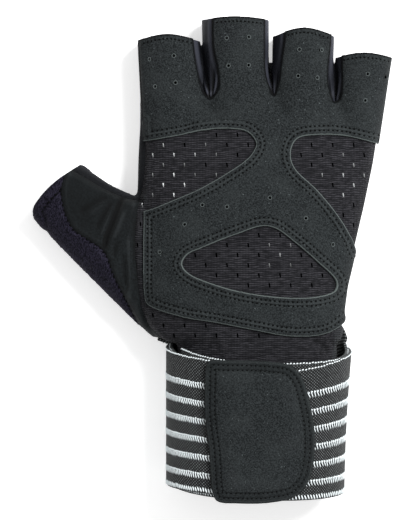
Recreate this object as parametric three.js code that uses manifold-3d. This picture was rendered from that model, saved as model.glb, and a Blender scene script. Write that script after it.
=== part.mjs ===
// A left-hand weightlifting glove with short fingers and a wrist wrap, lying on its back, palm up.
// Frame: millimetres, +X from the thumb side to the little-finger side, +Y towards the fingertips, +Z up.
// The origin is on the flat underside, under the middle of the hand.
import * as THREE from "three";
import { mergeVertices } from "three/addons/utils/BufferGeometryUtils.js";
import Module from "manifold-3d";

const wasm = await Module();
wasm.setup();

// Driving dimensions of the hand
const palmWidth = 107; // across the palm, from seam to seam
const palmLength = 112; // from the top of the wrap to the crotches of the fingers
const handDepth = 36; // from the back of the hand to the top of the heel of the palm
const fingerReach = 36; // from the crotches to the opening of the middle finger
const thumbReach = 75; // from the origin to the opening of the thumb, along the thumb
const thumbAngle = 45; // degrees from +Y towards -X
const sideSeamHeight = 9; // height of the seam between the back panel and the palm side

// Driving dimensions of the cloth
const knitWall = 1.2; // knit, stretch cloth and terry
const suedeWall = 1.1; // the suede overlay on top of the knit
const clearance = 0.3; // between two pieces
const seam = clearance / 2;
const slitWidth = 0.7; // vents in the knit
const slitLength = 2.0;
const slitPitchX = 9.5;
const slitPitchY = 4.5;
const punchDiameter = 1.1; // vents in the suede

// Driving dimensions of the wrist wrap
const wristWidth = 71;
const wristDepth = 31;
const wrapWidth = 62; // width of the elastic band
const wrapWall = 1.4;
const wrapStart = 0.07; // turns from the thumb side, over the palm side, to the sewn start of the band
const wrapEnd = 2.2; // turns to the end of the band, under the tab
const wrapFlare = 3.6; // how far the top of the wrap stands off the little-finger side of the wrist
const cuffLength = 56; // from the top of the wrap to the end of the cuff inside it
const tabWidth = 48; // along the band
const tabLength = 65; // across the band
const tabWall = 1.8;

// Shape constants that are no sizes
const roundness = 2.3; // exponent of the rounded sections, 2 is an ellipse
const widestShare = 0.42; // height of a section's widest level, as a share of its depth
const undersideShare = 1.25; // how far an uncut section would reach below its flat underside
const trunkSides = 32;
const tubeSides = 16;
const punchSides = 6;
const stationsPerTurn = 32;
const far = 300; // beyond every edge of the glove

// Levels of the layers, counted outwards from the outer face of the knit
const cavityLevel = -knitWall;
const knitLevel = 0;
const overlayFloor = clearance;
const overlayLevel = clearance + suedeWall;

// How far the spiral of the band stands off the cuff after a number of turns
const bandPitch = wrapWall + clearance;
const bandOffset = (turn) => clearance + bandPitch * turn;
const backTurn = 1.75; // the last pass over the back of the wrist
const bandUnderHand = bandOffset(backTurn) + wrapWall;

// Key lines of the layout
const crotchY = 0.66 * palmLength;
const wrapTopY = crotchY - palmLength;
const cuffEndY = wrapTopY - cuffLength;
const wrapEndY = wrapTopY - 1.25 * wrapWidth;
const wristMiddleX = 0.19 * palmWidth;
const cuffSeamX = wristMiddleX - 0.56 * wristWidth; // beside the cuff, on the thumb side

// Sections of the hand from the wrist to the finger roots. up is a share of palmLength from the origin,
// left and right are shares of palmWidth, top is a share of handDepth, and bottom is a share of the
// height that the band under the wrist lifts the cuff.
const handTable = [
  { up: -0.31, left: -0.23, right: 0.54, top: 0.99, bottom: 1 },
  { up: -0.22, left: -0.285, right: 0.548, top: 1.0, bottom: 1 },
  { up: -0.1, left: -0.3, right: 0.565, top: 1.0, bottom: 0.35 },
  { up: -0.03, left: -0.305, right: 0.583, top: 0.98, bottom: 0 },
  { up: 0.22, left: -0.312, right: 0.645, top: 0.89, bottom: 0 },
  { up: 0.4, left: -0.308, right: 0.685, top: 0.8, bottom: 0 },
  { up: 0.54, left: -0.3, right: 0.7, top: 0.7, bottom: 0 },
  { up: 0.64, left: -0.3, right: 0.71, top: 0.55, bottom: 0 },
];

// The fingers. root and tip hold the left and right edge as shares of palmWidth. reach, and the rise of the
// hem from its corners to its middle, are shares of fingerReach. depth is a share of handDepth.
const fingerTable = [
  { name: "index", root: [-0.285, -0.012], tip: [-0.315, -0.051], reach: 0.78, hem: 0.09, depth: 0.64 },
  { name: "middle", root: [-0.022, 0.252], tip: [-0.041, 0.243], reach: 1.0, hem: 0.04, depth: 0.66 },
  { name: "ring", root: [0.248, 0.512], tip: [0.263, 0.519], reach: 0.86, hem: 0.11, depth: 0.64 },
  { name: "little", root: [0.508, 0.685], tip: [0.527, 0.762], reach: 0.55, hem: 0.06, depth: 0.58 },
];
const fingerRootShare = 0.4; // of palmLength, where the tubes start inside the hand
const rootDepthShare = 1.06; // depth of a finger at its root, as a share of its depth at the hem

// The webs between neighbouring fingers slope from the palm side down to the back. front and back are
// shares of fingerReach from the crotch line, and height is a share of handDepth.
const webTable = [
  { front: 0.0, back: 0.44, height: 0.56 },
  { front: 0.02, back: 0.46, height: 0.56 },
  { front: -0.13, back: 0.1, height: 0.5 },
];
const webDepthShare = 0.3; // of palmLength, how far a web runs back into the hand
const webLip = 1; // height of the upright edge at the foot of a web

// Sections of the thumb across its own axis. along is a share of thumbReach, low and high are shares of
// palmWidth from the thumb's axis, and top is a share of handDepth.
const thumbTable = [
  { along: -0.09, low: -0.4, high: 0.09, top: 0.7 },
  { along: 0.07, low: -0.408, high: 0.12, top: 0.76 },
  { along: 0.34, low: -0.408, high: 0.06, top: 0.74 },
  { along: 0.59, low: -0.408, high: -0.03, top: 0.68 },
  { along: 0.75, low: -0.406, high: -0.073, top: 0.64 },
  { along: 1.0, low: -0.4, high: -0.106, top: 0.6 },
];
const thumbHem = 0.035; // rise of the hem of the thumb, as a share of thumbReach
const beyondThumb = 1.2; // of thumbReach, where an uncut thumb ends

// Edges of the band along its length. turn counts turns from the thumb side over the palm side, and top
// and bottom are shares of wrapWidth below the top line of the wrap.
const bandTable = [
  { turn: 0.0, top: -0.04, bottom: 0.97 },
  { turn: 0.25, top: 0.12, bottom: 1.08 },
  { turn: 0.5, top: 0.04, bottom: 1.03 },
  { turn: 0.6, top: -0.2, bottom: 0.95 },
  { turn: 0.75, top: -0.22, bottom: 0.8 },
  { turn: 1.0, top: 0.0, bottom: 0.99 },
  { turn: 1.25, top: 0.19, bottom: 1.11 },
  { turn: 1.5, top: 0.04, bottom: 1.06 },
  { turn: 1.75, top: -0.12, bottom: 0.89 },
  { turn: 2.0, top: 0.01, bottom: 1.0 },
  { turn: 2.25, top: 0.14, bottom: 1.09 },
];

// Seam lines and outlines on the palm side, as points [share of palmWidth, share of palmLength].
const palmSeam = [
  [-0.3, 0.93], [-0.288, 0.72], [-0.28, 0.59], [-0.277, 0.48], [-0.279, 0.37], [-0.291, 0.29],
  [-0.312, 0.19], [-0.32, 0.06], [-0.313, -0.04], [-0.293, -0.18], [-0.262, -0.26],
];
const littleFingerEdge = [[0.52, -0.34], [0.66, 0.3], [0.7, 0.55]];
const overlayFoot = [
  [-0.28, 0.19], [-0.283, 0.06], [-0.277, -0.12], [-0.262, -0.17], [-0.12, -0.222], [0.02, -0.245],
  [0.18, -0.275], [0.33, -0.3], [0.45, -0.295], [0.52, -0.27], [0.6, -0.2],
];
const thumbSideWindow = [
  [-0.4, 0.478], [-0.277, 0.482], [-0.14, 0.503], [-0.02, 0.524], [0.08, 0.529], [0.155, 0.515],
  [0.19, 0.47], [0.165, 0.418], [0.06, 0.345], [-0.05, 0.285], [-0.19, 0.228], [-0.27, 0.199], [-0.4, 0.18],
];
const littleSideWindow = [
  [0.85, 0.452], [0.705, 0.472], [0.58, 0.499], [0.46, 0.505], [0.36, 0.488], [0.332, 0.43], [0.35, 0.37],
  [0.44, 0.285], [0.53, 0.18], [0.585, 0.09], [0.62, 0.02], [0.85, -0.03],
];
const heelWindow = [
  [0.215, 0.139], [0.11, 0.108], [-0.03, 0.055], [-0.1, 0.023], [-0.12, -0.015], [-0.09, -0.052],
  [0.02, -0.096], [0.16, -0.13], [0.32, -0.147], [0.45, -0.142], [0.515, -0.118], [0.52, -0.08],
  [0.44, 0.0], [0.35, 0.075], [0.27, 0.13],
];
const fourchetteOutlines = [
  [
    [-0.09, 1.05], [-0.082, 0.88], [-0.066, 0.77], [-0.045, 0.69], [0.0, 0.652], [0.035, 0.69],
    [0.033, 0.77], [0.015, 0.86], [0.014, 1.05],
  ],
  [
    [0.22, 1.05], [0.218, 0.86], [0.222, 0.75], [0.238, 0.7], [0.268, 0.662], [0.29, 0.71],
    [0.302, 0.8], [0.315, 0.9], [0.318, 1.05],
  ],
  [
    [0.505, 1.0], [0.495, 0.87], [0.485, 0.77], [0.488, 0.7], [0.515, 0.634], [0.548, 0.65],
    [0.558, 0.72], [0.557, 0.8], [0.57, 1.0],
  ],
];
// The seam on the back of the hand between the back panel and the thumb.
const thumbBackSeam = [[-0.32, 1.2], [-0.32, 0.5], [-0.32, 0.27], [-0.3, 0.1], [-0.28, -0.1], [-0.24, -0.25]];

// Seam lines of the thumb, as points [share of palmWidth across the thumb, share of thumbReach along it].
// The first is the lower edge of the strip that runs round the crotch and up the index finger, and the
// second parts the smooth panel from the terry panel.
const gussetLine = [
  [-0.177, 1.16], [-0.147, 1.0], [-0.125, 0.883], [-0.104, 0.767], [-0.084, 0.687], [-0.062, 0.617],
  [-0.027, 0.546],
];
const terrySeam = [
  [-0.091, 1.08], [-0.166, 0.998], [-0.223, 0.951], [-0.285, 0.842], [-0.316, 0.719], [-0.303, 0.613],
  [-0.29, 0.519], [-0.3, 0.449], [-0.331, 0.361], [-0.376, 0.17], [-0.404, 0.049],
];
// Round vents in the suede, and one slit of the pattern in the knit, in shares of the palm again.
const punchTable = [
  [-0.252, 0.81], [-0.157, 0.823], [-0.23, 0.7], [-0.15, 0.715], [0.068, 0.894], [0.156, 0.898],
  [0.075, 0.783], [0.155, 0.785], [0.372, 0.848], [0.459, 0.847], [0.367, 0.742], [0.442, 0.735],
  [0.657, 0.751], [0.734, 0.74], [0.646, 0.644], [0.067, 0.215], [0.246, 0.251], [0.395, 0.17],
  [0.506, 0.066], [-0.108, 0.145], [-0.21, 0.035], [-0.035, 0.223],
];
const slitOrigin = [[-0.155, 0.425]];

// The closure tab, as points [share of tabWidth, share of tabLength] from the middle of the tab.
const tabOutline = [
  [-0.47, 0.49], [-0.3, 0.5], [0.1, 0.49], [0.28, 0.465], [0.38, 0.38], [0.455, 0.2], [0.5, 0.0],
  [0.495, -0.2], [0.44, -0.36], [0.32, -0.455], [0.1, -0.495], [-0.2, -0.5], [-0.39, -0.485],
  [-0.43, -0.43], [-0.46, -0.15], [-0.5, 0.1], [-0.5, 0.3],
];
const tabMiddleX = wristMiddleX + 0.02 * wristWidth;
const tabMiddleY = wrapTopY - 0.605 * wrapWidth;
const tabOverrun = 0.55; // of tabLength, from the middle to the end of the uncut plate
const tabStep = { start: 0.01, end: 0.07 }; // turns beyond the end of the band in which the tab steps down

// Helpers for solids
function solidOf(geometry) {
  const bare = geometry.clone();
  bare.deleteAttribute("normal");
  bare.deleteAttribute("uv");
  const merged = mergeVertices(bare, 1e-4);
  return new wasm.Manifold(
    new wasm.Mesh({
      numProp: 3,
      vertProperties: merged.attributes.position.array,
      triVerts: new Uint32Array(merged.index.array),
    }),
  );
}

function geometryOf(solid) {
  const { vertProperties, triVerts } = solid.getMesh();
  const geometry = new THREE.BufferGeometry();
  geometry.setAttribute("position", new THREE.BufferAttribute(vertProperties, 3));
  geometry.setIndex(new THREE.BufferAttribute(triVerts, 1));
  geometry.computeVertexNormals();
  return geometry;
}

const joined = (solids) => solids.reduce((sum, solid) => sum.add(solid));

// The largest body of a cut solid, without the crumbs that two nearly equal surfaces leave.
const larger = (one, other) => (other.volume() > one.volume() ? other : one);
const largest = (solid) => solid.decompose().reduce(larger);

// A closed body through rings of equal length, with a fan at each end.
function loft(rings) {
  const count = rings[0].length;
  const points = rings.flat();
  const faces = [];
  for (let ring = 0; ring + 1 < rings.length; ring++) {
    for (let i = 0; i < count; i++) {
      const here = ring * count + i;
      const next = ring * count + ((i + 1) % count);
      faces.push(here, next, here + count, next, next + count, here + count);
    }
  }
  const lastStart = (rings.length - 1) * count;
  for (let i = 1; i + 1 < count; i++) {
    faces.push(0, i + 1, i);
    faces.push(lastStart, lastStart + i, lastStart + i + 1);
  }
  const geometry = new THREE.BufferGeometry().setFromPoints(points);
  geometry.setIndex(faces);
  return solidOf(geometry);
}

// A point on a rounded section with a flat underside. turn runs from the left over the top to the right.
function sectionPoint({ along, left, right, bottom, top }, turn, grow) {
  const angle = Math.PI * (1 - 2 * turn);
  const bulge = (value) => Math.sign(value) * Math.abs(value) ** (2 / roundness);
  const widest = bottom + (top - bottom) * widestShare;
  const across = (right - left) / 2 + grow;
  const upward = top - widest + grow;
  const downward = (widest - bottom) * undersideShare + grow;
  const rise = bulge(Math.sin(angle));
  const height = widest + rise * (rise > 0 ? upward : downward);
  return new THREE.Vector3(
    (left + right) / 2 + across * bulge(Math.cos(angle)),
    along,
    Math.max(height, bottom - grow),
  );
}

function tube(sections, grow, sides) {
  const turns = Array.from({ length: sides }, (_, i) => i / sides);
  return loft(sections.map((section) => turns.map((turn) => sectionPoint(section, turn, grow))));
}

// A smooth line through points, as 2-D points.
function smooth(points, steps = 3) {
  const curve = new THREE.CatmullRomCurve3(points.map(([x, y]) => new THREE.Vector3(x, y, 0)));
  const count = steps * (points.length - 1);
  return curve.getPoints(count).map((p) => new THREE.Vector2(p.x, p.y));
}

function smoothLoop(points, steps = 3) {
  const curve = new THREE.CatmullRomCurve3(points.map(([x, y]) => new THREE.Vector3(x, y, 0)), true);
  return curve.getPoints(steps * points.length).slice(0, -1).map((p) => new THREE.Vector2(p.x, p.y));
}

const inPalm = (points) => points.map(([x, y]) => [x * palmWidth, y * palmLength]);
const alongThumb = (points) => points.map(([x, y]) => [x * palmWidth, y * thumbReach]);
const corner = (x, y) => new THREE.Vector2(x, y);

// The outline moved outwards by grow, or inwards if grow is negative.
function grown(outline, grow) {
  const loop = THREE.ShapeUtils.isClockWise(outline) ? [...outline].reverse() : outline;
  const count = loop.length;
  return loop.map((point, i) => {
    const before = point.clone().sub(loop[(i + count - 1) % count]).normalize();
    const after = loop[(i + 1) % count].clone().sub(point).normalize();
    const normal = corner(before.y + after.y, -before.x - after.x);
    const reach = grow / Math.max(0.5, 1 + before.dot(after));
    return point.clone().addScaledVector(normal, reach);
  });
}

function prism(outline, { low = -far, high = far, grow = 0 } = {}) {
  const shape = new THREE.Shape(grow ? grown(outline, grow) : outline);
  const geometry = new THREE.ExtrudeGeometry(shape, { depth: high - low, bevelEnabled: false });
  return solidOf(geometry.translate(0, 0, low));
}

function rectangle(left, right, bottom, top) {
  return [corner(left, bottom), corner(right, bottom), corner(right, top), corner(left, top)];
}

// Sections of the hand in millimetres, the cuff included
function handSections() {
  const cuff = (along) => ({
    along,
    left: wristMiddleX - wristWidth / 2,
    right: wristMiddleX + wristWidth / 2,
    bottom: bandUnderHand,
    top: bandUnderHand + wristDepth,
  });
  const hand = handTable.map(({ up, left, right, top, bottom }) => ({
    along: up * palmLength,
    left: left * palmWidth,
    right: right * palmWidth,
    bottom: bottom * bandUnderHand,
    top: top * handDepth,
  }));
  return [cuff(wrapEndY), cuff(wrapTopY + 0.02 * wrapWidth), ...hand];
}

const trunkSections = handSections();

// The section of the hand at any level between two rows of the table
function sectionAt(along) {
  const last = trunkSections.length - 2;
  const found = trunkSections.findIndex((row, i) => i > 0 && row.along >= along);
  const index = found < 0 ? last : found - 1;
  const low = trunkSections[index];
  const high = trunkSections[index + 1];
  const share = (along - low.along) / (high.along - low.along);
  const mix = (key) => low[key] + (high[key] - low[key]) * share;
  return { along, left: mix("left"), right: mix("right"), bottom: mix("bottom"), top: mix("top") };
}

const fingerTipY = ({ reach }) => crotchY + reach * fingerReach;

function fingerTube(finger, level, open) {
  const edges = ([left, right]) => ({ left: left * palmWidth, right: right * palmWidth, bottom: 0 });
  const rise = finger.hem * fingerReach;
  const depth = finger.depth * handDepth;
  const root = { ...edges(finger.root), along: fingerRootShare * palmLength, top: rootDepthShare * depth };
  const tip = { ...edges(finger.tip), along: fingerTipY(finger) + 2 * rise, top: depth };
  const body = tube([root, tip], level, tubeSides);
  return open ? body : body.intersect(belowHem(tip, fingerTipY(finger), rise));
}

// Everything below a hem that is higher in its middle than at its corners
function belowHem({ left, right }, tipY, rise) {
  const middle = (left + right) / 2;
  const half = middle - left + overlayLevel;
  const corners = [[middle - half, tipY - rise], [middle, tipY], [middle + half, tipY - rise]];
  const hem = smooth(corners, 4);
  return prism([...hem, corner(right + far, -far), corner(left - far, -far)]);
}

// A sloped wedge that fills the crotch between two fingers
function web({ front, back, height }, left, right, level) {
  const frontY = crotchY + front * fingerReach + level;
  const backY = crotchY + back * fingerReach + level;
  const rootY = crotchY - webDepthShare * palmLength;
  const top = height * handDepth + level;
  const floor = -level;
  const foot = [corner(rootY, floor), corner(backY, floor), corner(backY, floor + webLip)];
  const profile = new THREE.Shape([...foot, corner(frontY, top), corner(rootY, top)]);
  const bar = new THREE.ExtrudeGeometry(profile, { depth: right - left, bevelEnabled: false });
  // Stand the profile up: its first axis becomes Y and its second Z.
  const upright = new THREE.Matrix4().makeBasis(
    new THREE.Vector3(0, 1, 0),
    new THREE.Vector3(0, 0, 1),
    new THREE.Vector3(1, 0, 0),
  );
  return solidOf(bar.applyMatrix4(upright).translate(left, 0, 0));
}

function thumbTube(level, open) {
  const rows = thumbTable.map(({ along, low, high, top }) => ({
    along: along * thumbReach,
    left: low * palmWidth,
    right: high * palmWidth,
    bottom: 0,
    top: top * handDepth,
  }));
  const tip = rows.at(-1);
  const body = tube([...rows, { ...tip, along: beyondThumb * thumbReach }], level, tubeSides);
  const cut = open ? body : body.intersect(belowHem(tip, thumbReach, thumbHem * thumbReach));
  return cut.rotate([0, 0, thumbAngle]);
}

// The whole hand grown to a level. An open one runs on past each opening, to be cut away as the hollow.
function handAt(level, open = false) {
  const end = open ? wrapEndY : cuffEndY;
  const trunk = tube(trunkSections, level, trunkSides).intersect(prism(rectangle(-far, far, end, far)));
  const fingers = fingerTable.map((finger) => fingerTube(finger, level, open));
  const webs = webTable.map((row, i) => {
    const middleOf = ({ root: [left, right] }) => ((left + right) / 2) * palmWidth;
    return web(row, middleOf(fingerTable[i]), middleOf(fingerTable[i + 1]), level);
  });
  return joined([trunk, ...fingers, ...webs, thumbTube(level, open)]);
}

// How far the band stands off the wrist: most at its top edge, on the little-finger side
function flareAt(turn, along) {
  const towardsLittleFinger = Math.max(0, -Math.cos(2 * Math.PI * turn));
  const upwards = THREE.MathUtils.clamp((along - wrapEndY) / (wrapTopY - wrapEndY), 0, 1);
  return wrapFlare * towardsLittleFinger ** 2 * upwards ** 2;
}

// A length of band between two turns. Functions of the turn give its offsets and its edges.
function bandSolid(turns, offsets, edges, rows = 4) {
  const rings = turns.map((turn) => {
    const { top, bottom } = edges(turn);
    const { inner, outer } = offsets(turn);
    const levels = Array.from({ length: rows }, (_, i) => top + ((bottom - top) * i) / (rows - 1));
    const at = (along, grow) => sectionPoint(sectionAt(along), turn % 1, grow + flareAt(turn, along));
    return [...levels.map((y) => at(y, outer)), ...levels.toReversed().map((y) => at(y, inner))];
  });
  return loft(rings);
}

function turnsBetween(start, end) {
  const first = Math.ceil(start * stationsPerTurn + 0.01);
  const last = Math.floor(end * stationsPerTurn - 0.01);
  const inner = Array.from({ length: last - first + 1 }, (_, i) => (first + i) / stationsPerTurn);
  return [start, ...inner, end];
}

// The band's edges at a turn, on smooth curves through the rows of the table
const edgeSteps = 8 * bandTable.length;
const edgeCurves = ["top", "bottom"].map((key) => {
  const points = bandTable.map((row) => corner(row.turn, wrapTopY - row[key] * wrapWidth));
  return new THREE.SplineCurve(points).getPoints(edgeSteps);
});
function bandEdges(turn) {
  const [top, bottom] = edgeCurves.map((points) => {
    const index = Math.max(1, points.findIndex((point) => point.x >= turn));
    const [before, after] = [points[index - 1], points[index]];
    return before.y + ((after.y - before.y) * (turn - before.x)) / (after.x - before.x);
  });
  return { top, bottom };
}

// The last pass is pressed flat where it lies on the floor
function wristWrap() {
  const offsets = (turn) => ({ inner: bandOffset(turn), outer: bandOffset(turn) + wrapWall });
  const aboveFloor = prism(rectangle(-far, far, -far, far), { low: 0 });
  return bandSolid(turnsBetween(wrapStart, wrapEnd), offsets, bandEdges).intersect(aboveFloor);
}

// The tab lies on the end of the band and steps down behind it onto the pass below
function closureTab() {
  const palmSideStart = Math.floor(wrapEnd);
  const palmSideEnd = palmSideStart + 0.5;
  const [stepStart, stepEnd] = [wrapEnd + tabStep.start, wrapEnd + tabStep.end];
  const offsets = (turn) => {
    const onBand = 1 - THREE.MathUtils.smoothstep(turn, stepStart, stepEnd);
    const inner = bandOffset(turn) + bandPitch * onBand;
    return { inner, outer: inner + tabWall };
  };
  const reach = tabOverrun * tabLength;
  const edges = () => ({ top: tabMiddleY + reach, bottom: tabMiddleY - reach });
  const plate = bandSolid(turnsBetween(palmSideStart, palmSideEnd), offsets, edges, 2);
  const outline = tabOutline.map(([x, y]) => [tabMiddleX + x * tabWidth, tabMiddleY + y * tabLength]);
  return plate.intersect(prism(smoothLoop(outline, 2)));
}

// The regions on the +X and the -X side of a line that runs down the glove, turned with what it lies on.
// Each is drawn half a clearance inside the line.
function sidesOf(line, angle = 0) {
  return [1, -1].map((side) => {
    const outside = [corner(line.at(-1).x, -far), corner(side * far, -far), corner(side * far, far)];
    const outline = [...line, ...outside, corner(line[0].x, far)];
    return prism(outline, { grow: -seam }).rotate([0, 0, angle]);
  });
}

// The layers of the hand
const cavity = handAt(cavityLevel, true);
const knitBody = handAt(knitLevel);
const knitShell = knitBody.subtract(cavity);
const overlayBody = handAt(overlayLevel);
const overlayShell = overlayBody.subtract(handAt(overlayFloor));
const fingerShell = overlayBody.subtract(cavity);

// The regions between the seams
const everywhere = rectangle(-far, far, -far, far);
const palmSide = prism(everywhere, { low: sideSeamHeight + seam });
const backSide = prism(everywhere, { high: sideSeamHeight - seam });
const cuffSeam = corner(cuffSeamX, wrapTopY);
const palmLine = [...smooth(inPalm(palmSeam)), cuffSeam];
const backLine = [...smooth(inPalm(thumbBackSeam)), cuffSeam];
const [palmArea, thumbArea] = sidesOf(palmLine);
const [backArea, thumbBackArea] = sidesOf(backLine);
const [aboveGusset, belowGusset] = sidesOf(smooth(alongThumb(gussetLine)), thumbAngle);
const [insideTerryLine, outsideTerryLine] = sidesOf(smooth(alongThumb(terrySeam)), thumbAngle);
const fingerRootY = 0.56 * palmLength;
const fingerArea = prism(rectangle(-far, far, fingerRootY, far));
const belowFingers = prism(rectangle(-far, far, -far, fingerRootY - clearance));
const footLine = smooth(inPalm(overlayFoot));
const palmOutline = [...palmLine, ...smooth(inPalm(littleFingerEdge))];
const fourchetteLoops = fourchetteOutlines.map((outline) => smooth(inPalm(outline)));
const windows = [thumbSideWindow, littleSideWindow, heelWindow];
const windowLoops = windows.map((outline) => smoothLoop(inPalm(outline)));

function punches() {
  const radius = punchDiameter / 2;
  const round = new THREE.CylinderGeometry(radius, radius, far, punchSides).rotateX(Math.PI / 2);
  return inPalm(punchTable).map(([x, y]) => solidOf(round.clone().translate(x, y, sideSeamHeight + far / 2)));
}

function palmOverlay() {
  const [start, end] = [footLine[0], footLine.at(-1)];
  const joint = fingerRootY + clearance;
  const aboveFoot = [...footLine, corner(far, end.y), corner(far, joint), corner(start.x, joint)];
  const overPalm = overlayShell.intersect(prism(aboveFoot));
  const overFingers = fingerShell.intersect(fingerArea);
  const cuts = [
    ...windowLoops.map((loop) => prism(loop)),
    ...fourchetteLoops.map((loop) => prism(loop, { grow: seam })),
    ...punches(),
  ];
  return overPalm.add(overFingers).intersect(palmSide).intersect(palmArea).subtract(joined(cuts));
}

// Is a point inside an outline, and at least a margin away from its edge?
function holds(outline, point, margin) {
  const edges = outline.map((start, i) => [start, outline[(i + 1) % outline.length]]);
  const crossings = edges.filter(([a, b]) => {
    if (a.y > point.y === b.y > point.y) return false;
    return point.x < a.x + ((point.y - a.y) * (b.x - a.x)) / (b.y - a.y);
  });
  const clear = edges.every(([a, b]) => {
    const edge = b.clone().sub(a);
    const share = THREE.MathUtils.clamp(point.clone().sub(a).dot(edge) / edge.lengthSq(), 0, 1);
    return a.clone().addScaledVector(edge, share).distanceTo(point) > margin;
  });
  return crossings.length % 2 === 1 && clear;
}

// The staggered vents of the knit, cut where the overlay leaves it bare
function slits() {
  const wrapLine = wrapTopY - bandTable[1].top * wrapWidth;
  const heel = [...footLine, corner(footLine.at(-1).x, wrapLine), corner(footLine[0].x, wrapLine)];
  const bare = [...windowLoops, heel];
  const [[originX, originY]] = inPalm(slitOrigin);
  const columns = Math.ceil(palmWidth / slitPitchX);
  const rows = Math.ceil(palmLength / slitPitchY);
  const margin = slitLength / 2 + clearance;
  const cuts = [];
  for (let row = -rows; row <= rows; row++) {
    for (let column = -columns; column <= columns; column++) {
      const stagger = row % 2 ? slitPitchX / 2 : 0;
      const middle = corner(originX + column * slitPitchX + stagger, originY + row * slitPitchY);
      const isBare = bare.some((outline) => holds(outline, middle, margin));
      if (!isBare || !holds(palmOutline, middle, margin)) continue;
      const box = new THREE.BoxGeometry(slitWidth, slitLength, far);
      cuts.push(solidOf(box.translate(middle.x, middle.y, sideSeamHeight + far / 2)));
    }
  }
  return joined(cuts);
}

const knitPalm = knitShell.intersect(palmSide).intersect(palmArea);
const knitThumb = knitShell.intersect(palmSide).intersect(thumbArea);
const palmKnit = () => knitPalm.intersect(belowFingers).subtract(slits());
const fourchette = (loop) => knitShell.intersect(palmSide).intersect(prism(loop, { grow: -seam }));
const sideGusset = () => knitThumb.intersect(aboveGusset);
const thumbPanel = () => knitThumb.intersect(belowGusset).intersect(insideTerryLine);
const backPanel = () => knitShell.intersect(backSide).intersect(backArea);
function thumbTerry() {
  const onPalmSide = thumbArea.intersect(belowGusset).intersect(outsideTerryLine);
  const onBack = thumbBackArea.intersect(backSide);
  const fold = prism(everywhere, { low: sideSeamHeight - clearance });
  return knitShell.intersect(onBack.add(onPalmSide.intersect(fold)));
}

const cloth = (color, roughness) => new THREE.MeshStandardMaterial({ color, roughness, metalness: 0 });
const knitCloth = cloth(0x26262b, 0.9);
const suede = cloth(0x2e3231, 0.95);
const stretchCloth = cloth(0x16171f, 0.7);
const thumbSuede = cloth(0x202424, 0.85);
const terry = cloth(0x1c1a28, 1.0);
const elastic = cloth(0x1a1b1b, 0.8);

const glove = new THREE.Group();
function add(name, solid, material) {
  const mesh = new THREE.Mesh(geometryOf(largest(solid)), material);
  mesh.name = name;
  glove.add(mesh);
}

add("palm_knit", palmKnit(), knitCloth);
add("palm_overlay", palmOverlay(), suede);
add("back_panel", backPanel(), stretchCloth);
add("side_gusset", sideGusset(), stretchCloth);
fourchetteLoops.forEach((loop, i) => {
  const [left, right] = [fingerTable[i].name, fingerTable[i + 1].name];
  add(`fourchette_${left}_${right}`, fourchette(loop), stretchCloth);
});
add("thumb_panel", thumbPanel(), thumbSuede);
add("thumb_terry", thumbTerry(), terry);
add("wrist_wrap", wristWrap(), elastic);
add("closure_tab", closureTab(), suede);

export default glove;
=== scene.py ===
import math

import bpy
import numpy as np
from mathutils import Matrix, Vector
from mathutils.bvhtree import BVHTree


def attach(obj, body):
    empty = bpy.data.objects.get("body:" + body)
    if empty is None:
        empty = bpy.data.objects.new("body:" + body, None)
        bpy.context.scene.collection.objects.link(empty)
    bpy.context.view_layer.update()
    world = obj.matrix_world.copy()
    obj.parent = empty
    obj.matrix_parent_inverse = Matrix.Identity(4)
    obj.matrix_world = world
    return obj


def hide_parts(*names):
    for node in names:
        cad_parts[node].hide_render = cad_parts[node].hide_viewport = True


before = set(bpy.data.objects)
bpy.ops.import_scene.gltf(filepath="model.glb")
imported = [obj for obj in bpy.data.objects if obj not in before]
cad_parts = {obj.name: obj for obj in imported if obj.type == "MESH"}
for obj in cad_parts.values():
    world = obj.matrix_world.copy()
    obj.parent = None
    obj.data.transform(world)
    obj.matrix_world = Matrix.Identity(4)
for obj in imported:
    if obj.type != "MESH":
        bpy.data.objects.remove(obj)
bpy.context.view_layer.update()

MM = 0.001

# Sizes of the hand
palm_width = 107.0
palm_length = 112.0
hand_depth = 36.0
finger_reach = 36.0
thumb_reach = 75.0
thumb_angle = math.radians(45.0)
side_seam_height = 9.0

# Sizes of the cloth
knit_wall = 1.2
suede_wall = 1.1
clearance = 0.3
slit_width = 0.75
slit_length = 2.1
slit_pitch = (9.5, 4.5)
punch_diameter = 1.3
stitch_pitch = 2.0
stitch_rows = (1.8, 3.7)
hem_row = 2.2
thumb_hem_row = 4.6
tab_stitch_rows = (2.2, 4.4)
slit_tilt = math.radians(8.0)
rib_pitch = 0.95
yarn_pitch = 0.93

# Sizes of the wrist wrap
wrist_width = 71.0
wrist_depth = 31.0
wrap_width = 62.0
wrap_wall = 1.4
wrap_start = 0.07
wrap_end = 2.2
wrap_flare = 3.6
cuff_length = 56.0
tab_width = 48.0
tab_length = 65.0
tab_wall = 1.8

# Shape of the sections
roundness = 2.3
widest_share = 0.42
underside_share = 1.25
far = 300.0

# Fineness of the meshes
voxel = 0.95
ring_step = 2.0
section_sides = 96
band_step = 1.1

# Levels of the layers, counted outwards from the outer face of the knit
overlay_floor = clearance
overlay_level = clearance + suede_wall
# How far each panel reaches past its seam, so that no gap shows there
overlap = 0.05

band_pitch = wrap_wall + clearance
back_turn = 1.75
band_under_hand = clearance + band_pitch * back_turn + wrap_wall
crotch_y = 0.66 * palm_length
wrap_top_y = crotch_y - palm_length
cuff_end_y = wrap_top_y - cuff_length
wrap_end_y = wrap_top_y - 1.25 * wrap_width
wrist_middle_x = 0.19 * palm_width
cuff_seam_x = wrist_middle_x - 0.56 * wrist_width
finger_root_y = 0.56 * palm_length

def table(keys, *rows):
    """One record for each row of values, all under the same keys."""
    return [dict(zip(keys.split(), row)) for row in rows]


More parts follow.
